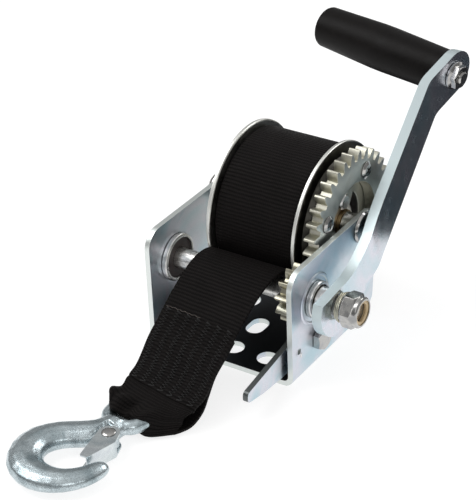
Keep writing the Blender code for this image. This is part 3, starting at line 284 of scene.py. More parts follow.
def webbing():
    """Black polyester webbing: rounded ribs across the strap, broken by the lengthwise yarns."""
    made, tree, shader = new_material("black_webbing", 0.0)
    place = strap_place(tree)
    solid = millimetres(tree)
    wander = maths(tree, "MULTIPLY", maths(tree, "SUBTRACT", noise(tree, solid, 0.11, 2.0), 0.5), 1.2)
    rib = maths(tree, "POWER", ridges(tree, maths(tree, "ADD", place["Y"], wander), RIB_PITCH), 0.55)
    yarn = maths(tree, "POWER", ridges(tree, place["X"], YARN_PITCH), 0.6)
    fibre = noise(tree, solid, 3.2, 4.0, 0.7)
    height = maths(tree, "ADD", maths(tree, "MULTIPLY", rib, 0.62), maths(tree, "MULTIPLY", yarn, 0.22))
    height = maths(tree, "ADD", height, maths(tree, "MULTIPLY", fibre, 0.16))
    worn = noise(tree, solid, 0.07, 4.0, 0.6)
    # Painted shade and highlight: the colour is darkest in the grooves between ribs and lightest on their
    # crests, mixed with random wear
    shade = maths(tree, "ADD", maths(tree, "MULTIPLY", rib, 0.6), maths(tree, "MULTIPLY", worn, 0.4))
    colour = ramp(tree, shade, [(0.25, (0.0005, 0.0004, 0.0004)), (0.75, (0.0056, 0.0043, 0.0040)),
                                (1.0, (0.0098, 0.0077, 0.0072))])
    tree.links.new(colour, shader.inputs["Base Color"])
    tree.links.new(ramp(tree, shade, [(0.2, 0.85), (0.9, 0.62)]), shader.inputs["Roughness"])
    shader.inputs["Specular IOR Level"].default_value = 0.11
    shader.inputs["Sheen Weight"].default_value = 0.012
    shader.inputs["Sheen Roughness"].default_value = 0.45
    shader.inputs["Sheen Tint"].default_value = (0.55, 0.5, 0.47, 1)
    tree.links.new(bump(tree, height, 0.60 * MM), shader.inputs["Normal"])
    return made


def webbing_edge():
    """The wound strap's edges: one fine line for each layer."""
    made, tree, shader = new_material("webbing_edge", 0.0)
    layer = ridges(tree, strap_place(tree)["X"], LAYER_PITCH)
    weave = noise(tree, millimetres(tree), 2.0, 4.0, 0.7)
    height = maths(tree, "ADD", layer, maths(tree, "MULTIPLY", weave, 0.3))
    # Painted shade: the colour is darker in the grooves between the layers' edges
    tree.links.new(ramp(tree, height, [(0.1, (0.0012, 0.001, 0.001)), (0.9, (0.008, 0.0068, 0.0062))]),
                   shader.inputs["Base Color"])
    tree.links.new(ramp(tree, height, [(0.1, 0.9), (0.9, 0.7)]), shader.inputs["Roughness"])
    tree.links.new(bump(tree, height, 0.3 * MM), shader.inputs["Normal"])
    return made


def thread(name, dark, light):
    made, tree, shader = new_material(name, 0.0)
    twist = noise(tree, millimetres(tree), 2.4, 3.0, 0.6)
    tree.links.new(ramp(tree, twist, [(0.35, dark), (0.65, light)]), shader.inputs["Base Color"])
    tree.links.new(ramp(tree, twist, [(0.3, 0.5), (0.7, 0.7)]), shader.inputs["Roughness"])
    tree.links.new(bump(tree, twist, 0.06 * MM), shader.inputs["Normal"])
    return made


# ---------------------------------------------------------------- finishes for the CAD nodes

BLUE_ZINC = [(0.47, 0.63, 0.71), (0.61, 0.71, 0.77), (0.72, 0.73, 0.80), (0.52, 0.67, 0.74)]
WARM_ZINC = [(0.34, 0.32, 0.24), (0.52, 0.50, 0.40), (0.42, 0.42, 0.35)]
BRIGHT = [(0.34, 0.34, 0.34), (0.54, 0.53, 0.51), (0.43, 0.43, 0.44)]
TURNED = [(0.62, 0.62, 0.60), (0.82, 0.81, 0.78), (0.72, 0.72, 0.71)]

# The pale edge tone is a painted highlight on the frame's plate edges
plate_zinc = plated_steel("plate_zinc", BLUE_ZINC, (0.27, 0.42), painted_edge_shading=(0.74, 0.78, 0.76),
                          # The web's dark tone is a painted reflection of the black strap
                          painted_web_reflection=(0.07, 0.075, 0.085))
# The pale edge tone is a painted highlight on the arm's edge band
crank_zinc = plated_steel("crank_zinc", BLUE_ZINC, (0.18, 0.30), blotch=0.03, painted_edge_shading=(0.66, 0.75, 0.77))
# The dark edge tone is painted shade on the lever's side faces
pawl_zinc = plated_steel("pawl_zinc", BLUE_ZINC, (0.24, 0.38), painted_edge_shading=(0.13, 0.14, 0.14))
gear_zinc = plated_steel("gear_zinc", WARM_ZINC, (0.26, 0.42), blotch=0.05, grain=2.2, relief=0.03)
# The pale edge tone is a painted highlight on the gear teeth's flanks
gear_face = plated_steel("gear_face", [(0.50, 0.53, 0.51), (0.68, 0.70, 0.66), (0.56, 0.56, 0.51)],
                         (0.28, 0.42), blotch=0.04, painted_edge_shading=(0.56, 0.55, 0.47))
# The pale edge tones are a painted highlight on the flanges' rims
flange_zinc = plated_steel("flange_zinc", [(0.46, 0.46, 0.42), (0.62, 0.62, 0.57), (0.54, 0.54, 0.50)],
                           (0.25, 0.4), painted_edge_shading=(0.82, 0.82, 0.78))
# The right flange is darker between the two radii
darkened_flange = plated_steel("darkened_flange", [(0.42, 0.42, 0.38), (0.60, 0.60, 0.54), (0.50, 0.50, 0.46)],
                            (0.25, 0.4), painted_edge_shading=(0.82, 0.82, 0.78), dark_band_tone=(0.060, 0.057, 0.050))
fastener_zinc = plated_steel("fastener_zinc", BRIGHT, (0.10, 0.22), blotch=0.12, grain=3.0, relief=0.012)
turned_steel = plated_steel("turned_steel", TURNED, (0.24, 0.36), blotch=0.1, grain=1.2, relief=0.015,
                            stretch=(6, 1, 1))
bronze = plated_steel("bush_bronze", [(0.30, 0.20, 0.11), (0.46, 0.33, 0.18)], (0.35, 0.5), blotch=0.2)
hook_zinc = forged_zinc()
latch_zinc = plated_steel("latch_zinc", [(0.52, 0.59, 0.62), (0.72, 0.77, 0.78), (0.60, 0.64, 0.68)],
                          (0.2, 0.34), blotch=0.09, grain=2.0)
grip_black = moulded_plastic()
seal_rubber = simple_plastic("seal_rubber", (0.014, 0.009, 0.008), (0.040, 0.026, 0.022), 0.42)
nylon = simple_plastic("nylon", (0.50, 0.36, 0.19), (0.68, 0.54, 0.34), 0.35)

FINISHES = {
    plate_zinc: ["frame"],
    crank_zinc: ["crank_arm"],
    pawl_zinc: ["pawl_lever"],
    gear_zinc: ["pinion_gear", "crank_spring"],
    gear_face: ["drum_gear"],
    flange_zinc: ["left_flange", "drum_core"],
    darkened_flange: ["right_flange"],
    fastener_zinc: ["axle_bolt", "axle_nut", "pawl_pivot_bolt", "pawl_pivot_nut", "crank_nut", "grip_bolt",
                    "grip_nut", "latch_rivet", "shaft_clip"] + [f"gear_screw_{i}" for i in range(1, 5)],
    turned_steel: ["left_bearing", "right_bearing", "left_axle_spacer", "right_axle_spacer", "pawl_spacer",
                   "strap_anchor_pin", "drive_shaft", "shaft_collar", "pawl_spring", "latch_spring"],
    bronze: ["left_drum_bush", "right_drum_bush"],
    latch_zinc: ["hook_latch"],
    grip_black: ["crank_grip", "grip_end_cap"],
    seal_rubber: ["left_bearing_seal", "right_bearing_seal"],
    nylon: ["crank_nut_insert"],
}
# Widths of the softened edges, in millimetres; the other nodes keep their sharp edges
BEVELS = {
    "frame": 0.35, "crank_arm": 0.5, "pawl_lever": 0.35, "drum_gear": 0.3, "pinion_gear": 0.35,
    "left_flange": 0.25, "right_flange": 0.25, "crank_nut": 0.25, "grip_nut": 0.25, "axle_nut": 0.25,
    "axle_bolt": 0.25, "pawl_pivot_bolt": 0.25, "pawl_pivot_nut": 0.2, "hook_latch": 0.12,
    "left_bearing": 0.3, "right_bearing": 0.3, "drive_shaft": 0.2, "shaft_collar": 0.3,
    "crank_grip": 0.5, "latch_rivet": 0.15,
}
SMOOTH_LIMIT = math.radians(32)                 # sharper edges stay hard
BEVEL_LIMIT = math.radians(38)
WELD = 0.002 * MM                               # vertices closer than this become one


def smooth_group():
    """Geometry nodes that shade smooth except across sharp edges."""
    group = bpy.data.node_groups.new("smooth_by_angle", "GeometryNodeTree")
    group.interface.new_socket("Geometry", in_out="INPUT", socket_type="NodeSocketGeometry")
    group.interface.new_socket("Geometry", in_out="OUTPUT", socket_type="NodeSocketGeometry")
    start, end = group.nodes.new("NodeGroupInput"), group.nodes.new("NodeGroupOutput")
    faces = group.nodes.new("GeometryNodeSetShadeSmooth")
    edges = group.nodes.new("GeometryNodeSetShadeSmooth")
    edges.domain = "EDGE"
    angle = group.nodes.new("GeometryNodeInputMeshEdgeAngle")
    compare = group.nodes.new("FunctionNodeCompare")
    compare.operation = "LESS_THAN"
    compare.inputs[1].default_value = SMOOTH_LIMIT
    group.links.new(start.outputs[0], faces.inputs["Geometry"])
    group.links.new(faces.outputs[0], edges.inputs["Geometry"])
    group.links.new(angle.outputs["Unsigned Angle"], compare.inputs[0])
    group.links.new(compare.outputs[0], edges.inputs["Shade Smooth"])
    group.links.new(edges.outputs[0], end.inputs[0])
    return group


SMOOTH = smooth_group()


def dress(obj, material, bevel=0.0):
    """Gives a CAD node its finish, softened edges and smooth rounds. Its vertices stay as they are."""
    mesh = obj.data
    if "custom_normal" in mesh.attributes:
        mesh.attributes.remove(mesh.attributes["custom_normal"])
    mesh.materials.clear()
    mesh.materials.append(material)
    weld = obj.modifiers.new("weld", "WELD")
    weld.merge_threshold = WELD
    if bevel:
        soft = obj.modifiers.new("soft_edges", "BEVEL")
        soft.width = bevel * MM
        soft.segments = 2
        soft.limit_method = "ANGLE"
        soft.angle_limit = BEVEL_LIMIT
    shade = obj.modifiers.new("smooth", "NODES")
    shade.node_group = SMOOTH
    flat = obj.modifiers.new("flat_faces", "WEIGHTED_NORMAL")
    flat.mode = "FACE_AREA"
    flat.weight = 90
    flat.keep_sharp = True


for finish, names in FINISHES.items():
    for name in names:
        dress(nodes[name], finish, BEVELS.get(name, 0.0))


# ---------------------------------------------------------------- mesh helpers

def link_mesh(name, mesh, material):
    made = bpy.data.objects.new(name, mesh)
    bpy.context.scene.collection.objects.link(made)
    mesh.materials.append(material)
    return made


def arc(centre, radius, start, end, steps):
    return [(centre[0] + radius * math.cos(start + (end - start) * i / steps),
             centre[1] + radius * math.sin(start + (end - start) * i / steps)) for i in range(steps + 1)]


def catmull(points, per_span):
    """Catmull-Rom curve through rows of numbers."""
    p = np.array([np.array(points[0]) * 2 - np.array(points[1]), *points,
                  np.array(points[-1]) * 2 - np.array(points[-2])], float)
    result = []
    for a, b, c, d in zip(p, p[1:], p[2:], p[3:]):
        for i in range(per_span):
            t = i / per_span
            result.append(0.5 * (2 * b + (c - a) * t + (2 * a - 5 * b + 4 * c - d) * t ** 2
                                 + (3 * b - a - 3 * c + d) * t ** 3))
    result.append(p[-2])
    return np.array(result)


def grid_mesh(name, rows, uvs):
    """A sheet through rows of points, with matching (across, along) millimetres as its UV."""
    work = bmesh.new()
    layer = work.loops.layers.uv.new("strap")
    made = [[work.verts.new(p) for p in row] for row in rows]
    for j in range(len(made) - 1):
        for i in range(len(made[0]) - 1):
            face = work.faces.new((made[j][i], made[j][i + 1], made[j + 1][i + 1], made[j + 1][i]))
            face.smooth = True
            for loop, (jj, ii) in zip(face.loops, ((j, i), (j, i + 1), (j + 1, i + 1), (j + 1, i))):
                loop[layer].uv = uvs[jj][ii]
    mesh = bpy.data.meshes.new(name)
    work.to_mesh(mesh)
    work.free()
    return mesh


# ---------------------------------------------------------------- wound strap

ROLL_HALF = STRAP_HALF - 0.1 * MM               # half the roll's width
ROLL_STEPS = 240                                # around the roll
ROLL_SLACK = 0.18 * MM                          # the outer layer lies this far inside the CAD's roll
SELVAGE = 0.65                                  # drop of the outer layer's rounded edge, mm


def on_roll(x, radius, angle):
    return (STRAP_X + x, AXLE[0] + radius * math.cos(angle), AXLE[1] + radius * math.sin(angle))


def build_outer_layer():
    """The roll's ribbed outer layer, a little uneven around the drum."""
    rounding = [(0.0, 0.0), (0.25, 0.35), (0.6, SELVAGE)]
    profile = [(-ROLL_HALF + d * MM, ROLL_RADIUS - (SELVAGE - r) * MM) for d, r in rounding]
    profile += [(x * MM, ROLL_RADIUS) for x in np.linspace(-23, 23, 12)]
    profile += [(ROLL_HALF - d * MM, ROLL_RADIUS - (SELVAGE - r) * MM) for d, r in reversed(rounding)]
    rows, uvs = [], []
    for k in range(ROLL_STEPS + 1):
        angle = 2 * math.pi * k / ROLL_STEPS
        swell = 0.10 * MM * math.sin(2 * angle + 0.6) + 0.06 * MM * math.sin(5 * angle)
        rows.append([on_roll(x, r - ROLL_SLACK + swell, angle) for x, r in profile])
        uvs.append([((x + ROLL_HALF) / MM, angle * ROLL_RADIUS / MM) for x, _ in profile])
    outer = link_mesh("wound_strap", grid_mesh("wound_strap", rows, uvs), black_webbing)
    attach(outer, "drum_body")
    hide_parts("strap_roll")


def build_layered_edge(side, name):
    """One side of the roll, where each layer's edge stands out as a fine spiral line."""
    rows, uvs = [], []
    radii = np.linspace(ROLL_BORE, ROLL_RADIUS - 0.75 * MM, 26)
    for k in range(ROLL_STEPS + 1):
        angle = 2 * math.pi * k / ROLL_STEPS
        row, flat = [], []
        for r in radii:
            spiral = r / MM / LAYER_PITCH + k / ROLL_STEPS
            depth = ROLL_HALF - 0.22 * MM * abs(math.cos(math.pi * spiral))
            row.append(on_roll(side * depth, r, angle))
            flat.append((r / MM + LAYER_PITCH * k / ROLL_STEPS, angle * r / MM))
        rows.append(row)
        uvs.append(flat)
    edge = link_mesh(name, grid_mesh(name, rows, uvs), layered_edge)
    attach(edge, "drum_body")


# ---------------------------------------------------------------- free strap

TURN_START = 8.0 * MM                           # in front of the origin
DRIFT_START = 66.0 * MM
DRIFT_LENGTH = 20.0 * MM
DRIFT = 4.5 * MM


def from_bar(u, v, z):
    """The point u along the hook's heading from its bar, v across it and z up, in millimetres."""
    s, c = math.sin(HOOK_HEADING), math.cos(HOOK_HEADING)
    return Vector((HOOK_AT.x + (-s * u + c * v) * MM, HOOK_AT.y + (-c * u - s * v) * MM, z * MM))


def strap_line():
    """Side view (y, z) of the free strap's upper layer, from under the roll to near the bar."""
    wrap = ROLL_RADIUS + 0.5 * MM + STRAP / 2
    off_roll = arc(AXLE, wrap, math.radians(180 + 72), math.radians(180 + 29), 7)
    top = [(-5.6, 50.4), (-10.5, 53.6), (-17.5, 54.6), (-26.0, 53.0), (-36.0, 47.8), (-46.0, 40.6),
           (-56.0, 32.0), (-66.0, 24.2), (-76.0, 18.2), (-84.0, 15.2)]
    return off_roll + [(y * MM, z * MM) for y, z in top]


def strap_point(y, z, t):
    """A point of the full-width strap at side-view place (y, z), t from -1 at its left to 1 at its right.

    Past the shaft the strap turns to the hook's heading, and near the hook it drifts to its right.
    """
    run = min(max(-y - TURN_START, 0) / (-HOOK_AT.y - TURN_START), 1)
    late = min(max((-y - DRIFT_START) / DRIFT_LENGTH, 0), 1)
    centre = STRAP_X + (HOOK_AT.x - STRAP_X) * run + DRIFT * late * late * (3 - 2 * late)
    turn = HOOK_HEADING * run
    across = t * STRAP_HALF
    crown = -0.5 * MM * t * t * run
    return Vector((centre + across * math.cos(turn), y - across * math.sin(turn), z + crown))


# The folded end in millimetres from the bar (u, v, z) for t = -1, -0.5, 0, 0.5 and 1: over the bar,
# out to the gathered corner, down through the eye and back under the bar
END_ROWS = [
    [(-8.2, -19.5, 13.4), (-7.4, -8.0, 13.2), (-7.0, 4.2, 13.0), (-7.4, 16.0, 12.8), (-10.0, 27.5, 11.4)],
    [(0.6, -15.4, 13.2), (2.2, -7.0, 13.1), (2.2, 4.2, 13.0), (0.2, 15.2, 12.2), (-6.5, 26.4, 9.6)],
    [(7.8, -15.4, 16.6), (10.6, -8.0, 15.4), (10.2, 2.2, 12.8), (7.6, 13.8, 13.2), (-4.6, 26.0, 8.4)],
    [(11.5, -11.8, 15.0), (17.0, -5.5, 13.4), (14.4, 3.2, 11.6), (10.2, 13.8, 11.6), (-3.6, 25.8, 7.0)],
    [(10.8, -12.0, 10.0), (14.6, -4.2, 9.6), (13.2, 4.0, 8.2), (9.6, 13.8, 7.2), (-3.4, 25.4, 5.2)],
    [(6.0, -13.5, 4.8), (10.4, -4.6, 5.2), (12.0, 4.0, 4.4), (12.0, 14.0, 3.5), (-1.0, 25.0, 3.2)],
    [(1.0, -16.0, 1.6), (4.0, -6.0, 1.5), (7.0, 3.6, 1.5), (10.0, 15.0, 1.6), (1.0, 24.4, 1.7)],
    [(-8.1, -19.0, 2.2), (-8.1, -8.0, 1.9), (-8.1, 3.8, 1.8), (-7.2, 15.8, 1.8), (-8.2, 27.2, 2.2)],
]
# The returned layer under the stitching, in side view (y, z) and millimetres
UNDER = [(-86.0, 7.6), (-79.0, 14.0), (-70.0, 19.6), (-62.0, 25.2), (-53.5, 32.0)]
ROWS_PER_SPAN = 8                               # mesh rows between neighbouring control rows
COLUMNS_PER_SPAN = 20                           # mesh columns between the control columns
FIRST_FREE_ROW = 60                             # past the part that wraps the roll
UPPER_ROWS = 148                                # the upper layer's rows, before the folded end
FOLD_ROWS = 186                                 # the rows before the returned layer
STITCH_START = -50.5 * MM                       # y where the stitching begins
STITCH_END = -91.5 * MM
STITCH_ROWS = 7
STITCH_SPREAD = 0.84                            # outer stitch rows, as a share of the strap's half width
PUCKER_HEIGHT = 1.1                             # between stitch rows, mm
CREASE_DEPTH = 1.4                              # where the stitching ends, mm
CREASE_WIDTH = 1.3
FOLD_HEIGHT = 0.85                              # gathered folds towards the hook, mm
POCKET_DEPTH = 4.6                              # hollow beside the gathered left corner, mm


def puckers(y, columns):
    """Swellings between the stitch rows, which fade at both ends of the stitching."""
    low, high = STITCH_END / MM, STITCH_START / MM
    inside = np.clip((high - y) / 2.0, 0, 1) * np.clip((y - low) / 2.0, 0, 1)
    pitch = 2 * STITCH_SPREAD / (STITCH_ROWS - 1)
    swelling = np.abs(np.sin(math.pi * (columns + STITCH_SPREAD) / pitch)) ** 0.7 - 0.45
    swelling = swelling * (np.abs(columns) < STITCH_SPREAD + 0.02)
    beat = 0.75 + 0.25 * np.sin(y * 0.9 + columns * 9)
    return PUCKER_HEIGHT * inside * swelling * beat


def crease(y, columns):
    """The line where the stitching ends and the loop begins."""
    line = np.exp(-((y - STITCH_END / MM + 1.8) / CREASE_WIDTH) ** 2)
    return CREASE_DEPTH * line * (0.8 + 0.2 * np.sin(7 * columns))


def gathered_folds(order, columns):
    """Lengthwise folds where the strap bunches towards the hook's eye."""
    strength = np.clip((order - UPPER_ROWS) / 14, 0, 1) * np.clip((FOLD_ROWS - order) / 10, 0, 1)
    folds = np.sin(13.5 * columns + 0.8) * np.clip(1.15 - np.abs(columns), 0, 1) ** 0.5
    return FOLD_HEIGHT * strength * folds


def pocket_hollow(order, columns):
    """The hollow beside the raised left corner."""
    middle = UPPER_ROWS + 0.36 * (FOLD_ROWS - UPPER_ROWS)
    return POCKET_DEPTH * np.exp(-((order - middle) / 8.0) ** 2 - ((columns + 0.08) / 0.20) ** 2)


def relief(rows, columns):
    """Offsets of the strap's rows: puckers, crease, gathered folds, and the pocket pushed in and down."""
    y = rows[:, len(columns) // 2, 1][:, None] / MM
    order = np.arange(len(rows))[:, None]
    columns = columns[None, :]
    upper = order < UPPER_ROWS
    pocket = pocket_hollow(order, columns)
    lift = (puckers(y, columns) - crease(y, columns)) * upper + gathered_folds(order, columns)
    offset = np.zeros(rows.shape)
    offset[:, :, 0] = pocket * MM * math.sin(HOOK_HEADING)
    offset[:, :, 1] = pocket * MM * math.cos(HOOK_HEADING)
    offset[:, :, 2] = (lift - 0.6 * pocket) * MM
    return offset


def build_free_strap():
    """The strap from the roll over the shaft to the hook, folded through its eye and stitched back."""
    columns = np.linspace(-1, 1, 4 * COLUMNS_PER_SPAN + 1)
    controls = [[strap_point(y, z, t) for t in columns] for y, z in strap_line()]
    for row in END_ROWS:
        controls.append([from_bar(*p) for p in catmull(row, COLUMNS_PER_SPAN)])
    for y, z in UNDER:
        controls.append([strap_point(y * MM, z * MM, t * 0.99) for t in columns])
    rows = catmull([[c for p in row for c in p] for row in controls], ROWS_PER_SPAN)
    rows = rows.reshape(len(rows), len(columns), 3)
    rows = rows + relief(rows, columns)
    middle = rows[:, len(columns) // 2]
    along = np.concatenate([[0], np.cumsum(np.linalg.norm(np.diff(middle, axis=0), axis=1))]) / MM
    uvs = [[((t + 1) * STRAP_HALF / MM, a) for t in columns] for a in along]
    mesh = grid_mesh("free_strap", [[tuple(p) for p in row] for row in rows], uvs)
    strap = link_mesh("free_strap", mesh, black_webbing)
    sheet = strap.modifiers.new("thickness", "SOLIDIFY")
    sheet.thickness = STRAP
    sheet.offset = 0
    sheet.use_even_offset = False
    bead = strap.modifiers.new("selvage", "BEVEL")
    bead.width = 0.5 * MM
    bead.segments = 3
    bead.limit_method = "ANGLE"
    bead.angle_limit = math.radians(50)
    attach(strap, "frame_body")
    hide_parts("strap_tail")
    return rows, along, columns


def tube(name, paths, radius, material, body):
    """Thread laid along paths, as one curve object turned to mesh."""
    curve = bpy.data.curves.new(name, "CURVE")
    curve.dimensions = "3D"
    curve.bevel_depth = radius
    curve.bevel_resolution = 2
    for path in paths:
        spline = curve.splines.new("POLY")
        spline.points.add(len(path) - 1)
        for point, place in zip(spline.points, path):
            point.co = (*place, 1)
    source = bpy.data.objects.new(name + "_line", curve)
    bpy.context.scene.collection.objects.link(source)
    mesh = bpy.data.meshes.new_from_object(source.evaluated_get(bpy.context.evaluated_depsgraph_get()))
    bpy.data.objects.remove(source)
    mesh.name = name
    mesh.materials.clear()
    for face in mesh.polygons:
        face.use_smooth = True
    made = link_mesh(name, mesh, material)
    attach(made, body)


STITCH_LENGTH = 0.95                            # along the strap for each zig or zag, mm
STITCH_SWING = 0.072                            # to each side, as a share of the strap's half width
ZIGZAG_RADIUS = 0.52 * MM
START_REACH = 0.94                              # the start line runs from the left edge to the middle
START_RADIUS = 0.16 * MM
START_STEPS = 48


def build_stitching(rows, along, columns):
    """Rows of zigzag stitches along the doubled strap, and a pale line of thread where they start."""
    normals = np.cross(np.gradient(rows, axis=0), np.gradient(rows, axis=1))
    normals /= np.linalg.norm(normals, axis=2)[..., None]
    if normals[len(rows) // 3, len(columns) // 2][2] < 0:
        normals = -normals

    def at(a, t, lift):
        """The point at a millimetres along the strap and t across it, lifted off its middle surface."""
        j = np.interp(a, along, range(len(along)))
        i = np.interp(t, columns, range(len(columns)))
        j0, i0 = min(int(j), len(rows) - 2), min(int(i), len(columns) - 2)
        fj, fi = j - j0, i - i0
        place = np.zeros(3)
        for field, weight in ((rows, 1.0), (normals, lift)):
            corner = (field[j0, i0] * (1 - fj) * (1 - fi) + field[j0 + 1, i0] * fj * (1 - fi)
                      + field[j0, i0 + 1] * (1 - fj) * fi + field[j0 + 1, i0 + 1] * fj * fi)
            place = place + corner * weight
        return place

    def length_to(y):
        """Millimetres along the strap to where its free run passes y."""
        row_ys = rows[:, len(columns) // 2, 1]
        return along[next(k for k in range(FIRST_FREE_ROW, len(rows)) if row_ys[k] < y)]

    start, end = length_to(STITCH_START), length_to(STITCH_END)
    paths = []
    for row in range(STITCH_ROWS):
        middle = STITCH_SPREAD * (2 * row / (STITCH_ROWS - 1) - 1)
        steps = int((end - start) / STITCH_LENGTH)
        path = []
        for k in range(steps + 1):
            a = start + 1.0 + (end - start - 1.0) * k / steps
            swing = STITCH_SWING if k % 2 else -STITCH_SWING
            path.append(at(a, middle + swing + 0.012 * math.sin(k * 1.3 + row), STRAP / 2 - 0.06 * MM))
        paths.append(path)
    tube("zigzag_stitches", paths, ZIGZAG_RADIUS, black_thread, "frame_body")
    line = []
    for k in range(START_STEPS + 1):
        t = START_REACH * (k / START_STEPS - 1)
        lift = STRAP / 2 + 0.10 * MM + 0.05 * MM * math.cos(k * 1.7)
        line.append(at(start + 0.25 * math.sin(k * 0.9), t, lift))
    tube("start_stitch", [line], START_RADIUS, pale_thread, "frame_body")


black_webbing = webbing()
layered_edge = webbing_edge()
black_thread = thread("black_thread", (0.0010, 0.0008, 0.0008), (0.0056, 0.0046, 0.0043))
pale_thread = thread("pale_thread", (0.035, 0.028, 0.024), (0.12, 0.10, 0.088))

build_outer_layer()
build_layered_edge(-1, "wound_strap_left_edge")
build_layered_edge(1, "wound_strap_right_edge")
strap_rows, strap_along, strap_columns = build_free_strap()
build_stitching(strap_rows, strap_along, strap_columns)


# ---------------------------------------------------------------- hook

# The latch's recess, in millimetres from the bar and from the shank's middle
RECESS_START, RECESS_END = 25.2, 43.0           # along the shank
RECESS_SIDE = 0.3                               # across it
RECESS_FLAT = 3.65                              # up and down
FORGING_DETAIL = 0.55 * MM                      # edge length of the merged mesh
FILLET_ROUNDS = 9


def press_recess(mesh):
    """Presses the smoothed shank back to the two flats that the latch's cheeks slide on."""
    s, c = math.sin(HOOK_HEADING), math.cos(HOOK_HEADING)
    for vertex in mesh.vertices:
        x, y, z = (vertex.co - HOOK_AT) / MM
        along, across = -s * x - c * y, c * x - s * y
        if RECESS_START < along < RECESS_END and across > RECESS_SIDE:
            vertex.co.z = HOOK_AT.z + max(-RECESS_FLAT, min(RECESS_FLAT, z)) * MM


def build_hook():
    """The forging: the CAD's solids merged, with the fillets that a die leaves between them."""
    source = nodes["tow_hook"]
    work = bmesh.new()
    work.from_mesh(source.data)
    bmesh.ops.remove_doubles(work, verts=work.verts, dist=WELD)
    mesh = bpy.data.meshes.new("forged_hook")
    work.to_mesh(mesh)
    work.free()
    hook = link_mesh("forged_hook", mesh, hook_zinc)
    voxel = hook.modifiers.new("remesh", "REMESH")
    voxel.mode = "VOXEL"
    voxel.voxel_size = FORGING_DETAIL
    voxel.use_smooth_shade = True
    relax = hook.modifiers.new("fillets", "SMOOTH")
    relax.factor = 0.6
    relax.iterations = FILLET_ROUNDS
    bpy.context.view_layer.update()
    made = bpy.data.meshes.new_from_object(hook.evaluated_get(bpy.context.evaluated_depsgraph_get()))
    hook.modifiers.clear()
    hook.data = made
    press_recess(made)
    made.name = "forged_hook"
    made.materials.clear()
    made.materials.append(hook_zinc)
    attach(hook, "hook_body")
    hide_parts("tow_hook")


build_hook()


# ---------------------------------------------------------------- studio

FLOOR_REACH = 6.0
CARD_X = (-0.10, 0.45)                          # the dark card's reach
CARD_Y = (0.145, 0.90)
LAMPS = [
    # name, place, target, width, depth, power in watts
    ("key", (-0.75, -0.35, 1.15), (0.0, 0.0, 0.04), 0.9, 0.9, 9.0),
    ("fill", (1.1, -1.1, 0.9), (0.0, 0.0, 0.05), 0.8, 0.8, 4.0),
    ("back", (0.3, 1.2, 1.0), (0.0, 0.0, 0.06), 1.0, 0.6, 6.0),
]
CAMERA_AZIMUTH = math.radians(33.791)
CAMERA_ELEVATION = math.radians(30.824)
CAMERA_ROLL = math.radians(-2.347)
CAMERA_DISTANCE = 1.01517
CAMERA_SIDE = -10.991 * MM                      # the view's middle, from the origin
CAMERA_RISE = 46.124 * MM
LENS = 128.03                                   # focal length and sensor width, mm
SENSOR = 36


def level_sheet(name, x_span, y_span, material):
    """A flat rectangle, level with the ground."""
    (x0, x1), (y0, y1) = x_span, y_span
    mesh = bpy.data.meshes.new(name)
    mesh.from_pydata([(x0, y0, 0), (x1, y0, 0), (x1, y1, 0), (x0, y1, 0)], [], [(0, 1, 2, 3)])
    return link_mesh(name, mesh, material)


def build_floor():
    """A plain pale floor, bright enough to stay white around the object."""
    made, _, shader = new_material("pale_floor", 0.0)
    shader.inputs["Base Color"].default_value = (0.30, 0.30, 0.30, 1)
    shader.inputs["Roughness"].default_value = 1.0
    shader.inputs["Specular IOR Level"].default_value = 0.0
    shader.inputs["Emission Color"].default_value = (1, 1, 1, 1)
    shader.inputs["Emission Strength"].default_value = 0.80
    floor = level_sheet("floor", (-FLOOR_REACH, FLOOR_REACH), (-FLOOR_REACH, FLOOR_REACH), made)
    floor.location.z = -0.2 * MM


def build_dark_card():
    """A card behind the winch that only reflections see: the dark that the crank's face mirrors."""
    made, _, shader = new_material("dark_card", 0.0)
    shader.inputs["Base Color"].default_value = (0.012, 0.014, 0.020, 1)
    shader.inputs["Roughness"].default_value = 0.9
    card = level_sheet("dark_card", CARD_X, CARD_Y, made)
    card.location.z = 1.0 * MM
    card.visible_camera = False
    card.visible_diffuse = False
    card.visible_shadow = False


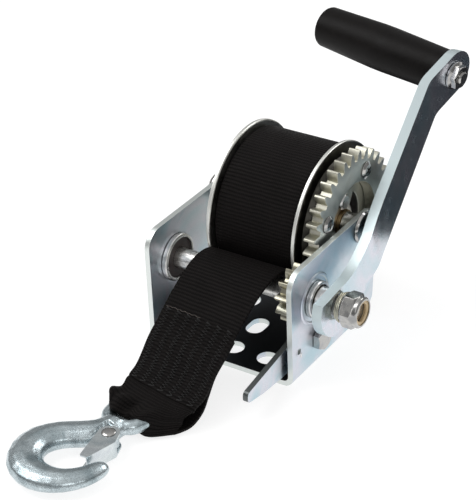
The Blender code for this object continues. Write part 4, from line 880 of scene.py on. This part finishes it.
def build_sky():
    """A grey studio: brighter overhead, darkest just above the horizon."""
    world = bpy.data.worlds.new("studio")
    bpy.context.scene.world = world
    world.use_nodes = True
    tree = world.node_tree
    back = tree.nodes["Background"]
    rise = parts_of(tree, add_node(tree, "ShaderNodeTexCoord").outputs["Generated"])["Z"]
    height = maths(tree, "ADD", maths(tree, "MULTIPLY", rise, 0.5), 0.5)
    greys = ramp(tree, height, [(0.48, 0.60), (0.55, 0.26), (0.75, 0.42), (1.0, 0.85)])
    tree.links.new(greys, back.inputs["Color"])
    back.inputs["Strength"].default_value = 0.85


def build_lamps():
    """Soft light from the left, the right front and behind."""
    for name, place, target, width, depth, power in LAMPS:
        lamp = bpy.data.lights.new(name, "AREA")
        lamp.shape = "RECTANGLE"
        lamp.size, lamp.size_y = width, depth
        lamp.energy = power
        made = bpy.data.objects.new(name, lamp)
        made.location = place
        made.rotation_mode = "QUATERNION"
        made.rotation_quaternion = (Vector(target) - Vector(place)).to_track_quat("-Z", "Y")
        bpy.context.scene.collection.objects.link(made)


def build_camera():
    """The photo's viewpoint: ahead of the winch, to its right and above."""
    level = math.cos(CAMERA_ELEVATION)
    back = Vector((math.sin(CAMERA_AZIMUTH) * level, -math.cos(CAMERA_AZIMUTH) * level,
                   math.sin(CAMERA_ELEVATION)))
    right = Vector((math.cos(CAMERA_AZIMUTH), math.sin(CAMERA_AZIMUTH), 0))
    up = back.cross(right)
    turned_right = right * math.cos(CAMERA_ROLL) + up * math.sin(CAMERA_ROLL)
    turned_up = up * math.cos(CAMERA_ROLL) - right * math.sin(CAMERA_ROLL)
    place = turned_right * CAMERA_SIDE + turned_up * CAMERA_RISE + back * CAMERA_DISTANCE
    data = bpy.data.cameras.new("camera")
    data.lens = LENS
    data.sensor_width = SENSOR
    camera = bpy.data.objects.new("camera", data)
    turn = Matrix((turned_right, turned_up, back)).transposed().to_4x4()
    camera.matrix_world = Matrix.Translation(place) @ turn
    bpy.context.scene.collection.objects.link(camera)
    bpy.context.scene.camera = camera


build_floor()
build_dark_card()
build_sky()
build_lamps()
build_camera()
bpy.context.scene.view_settings.view_transform = "Standard"
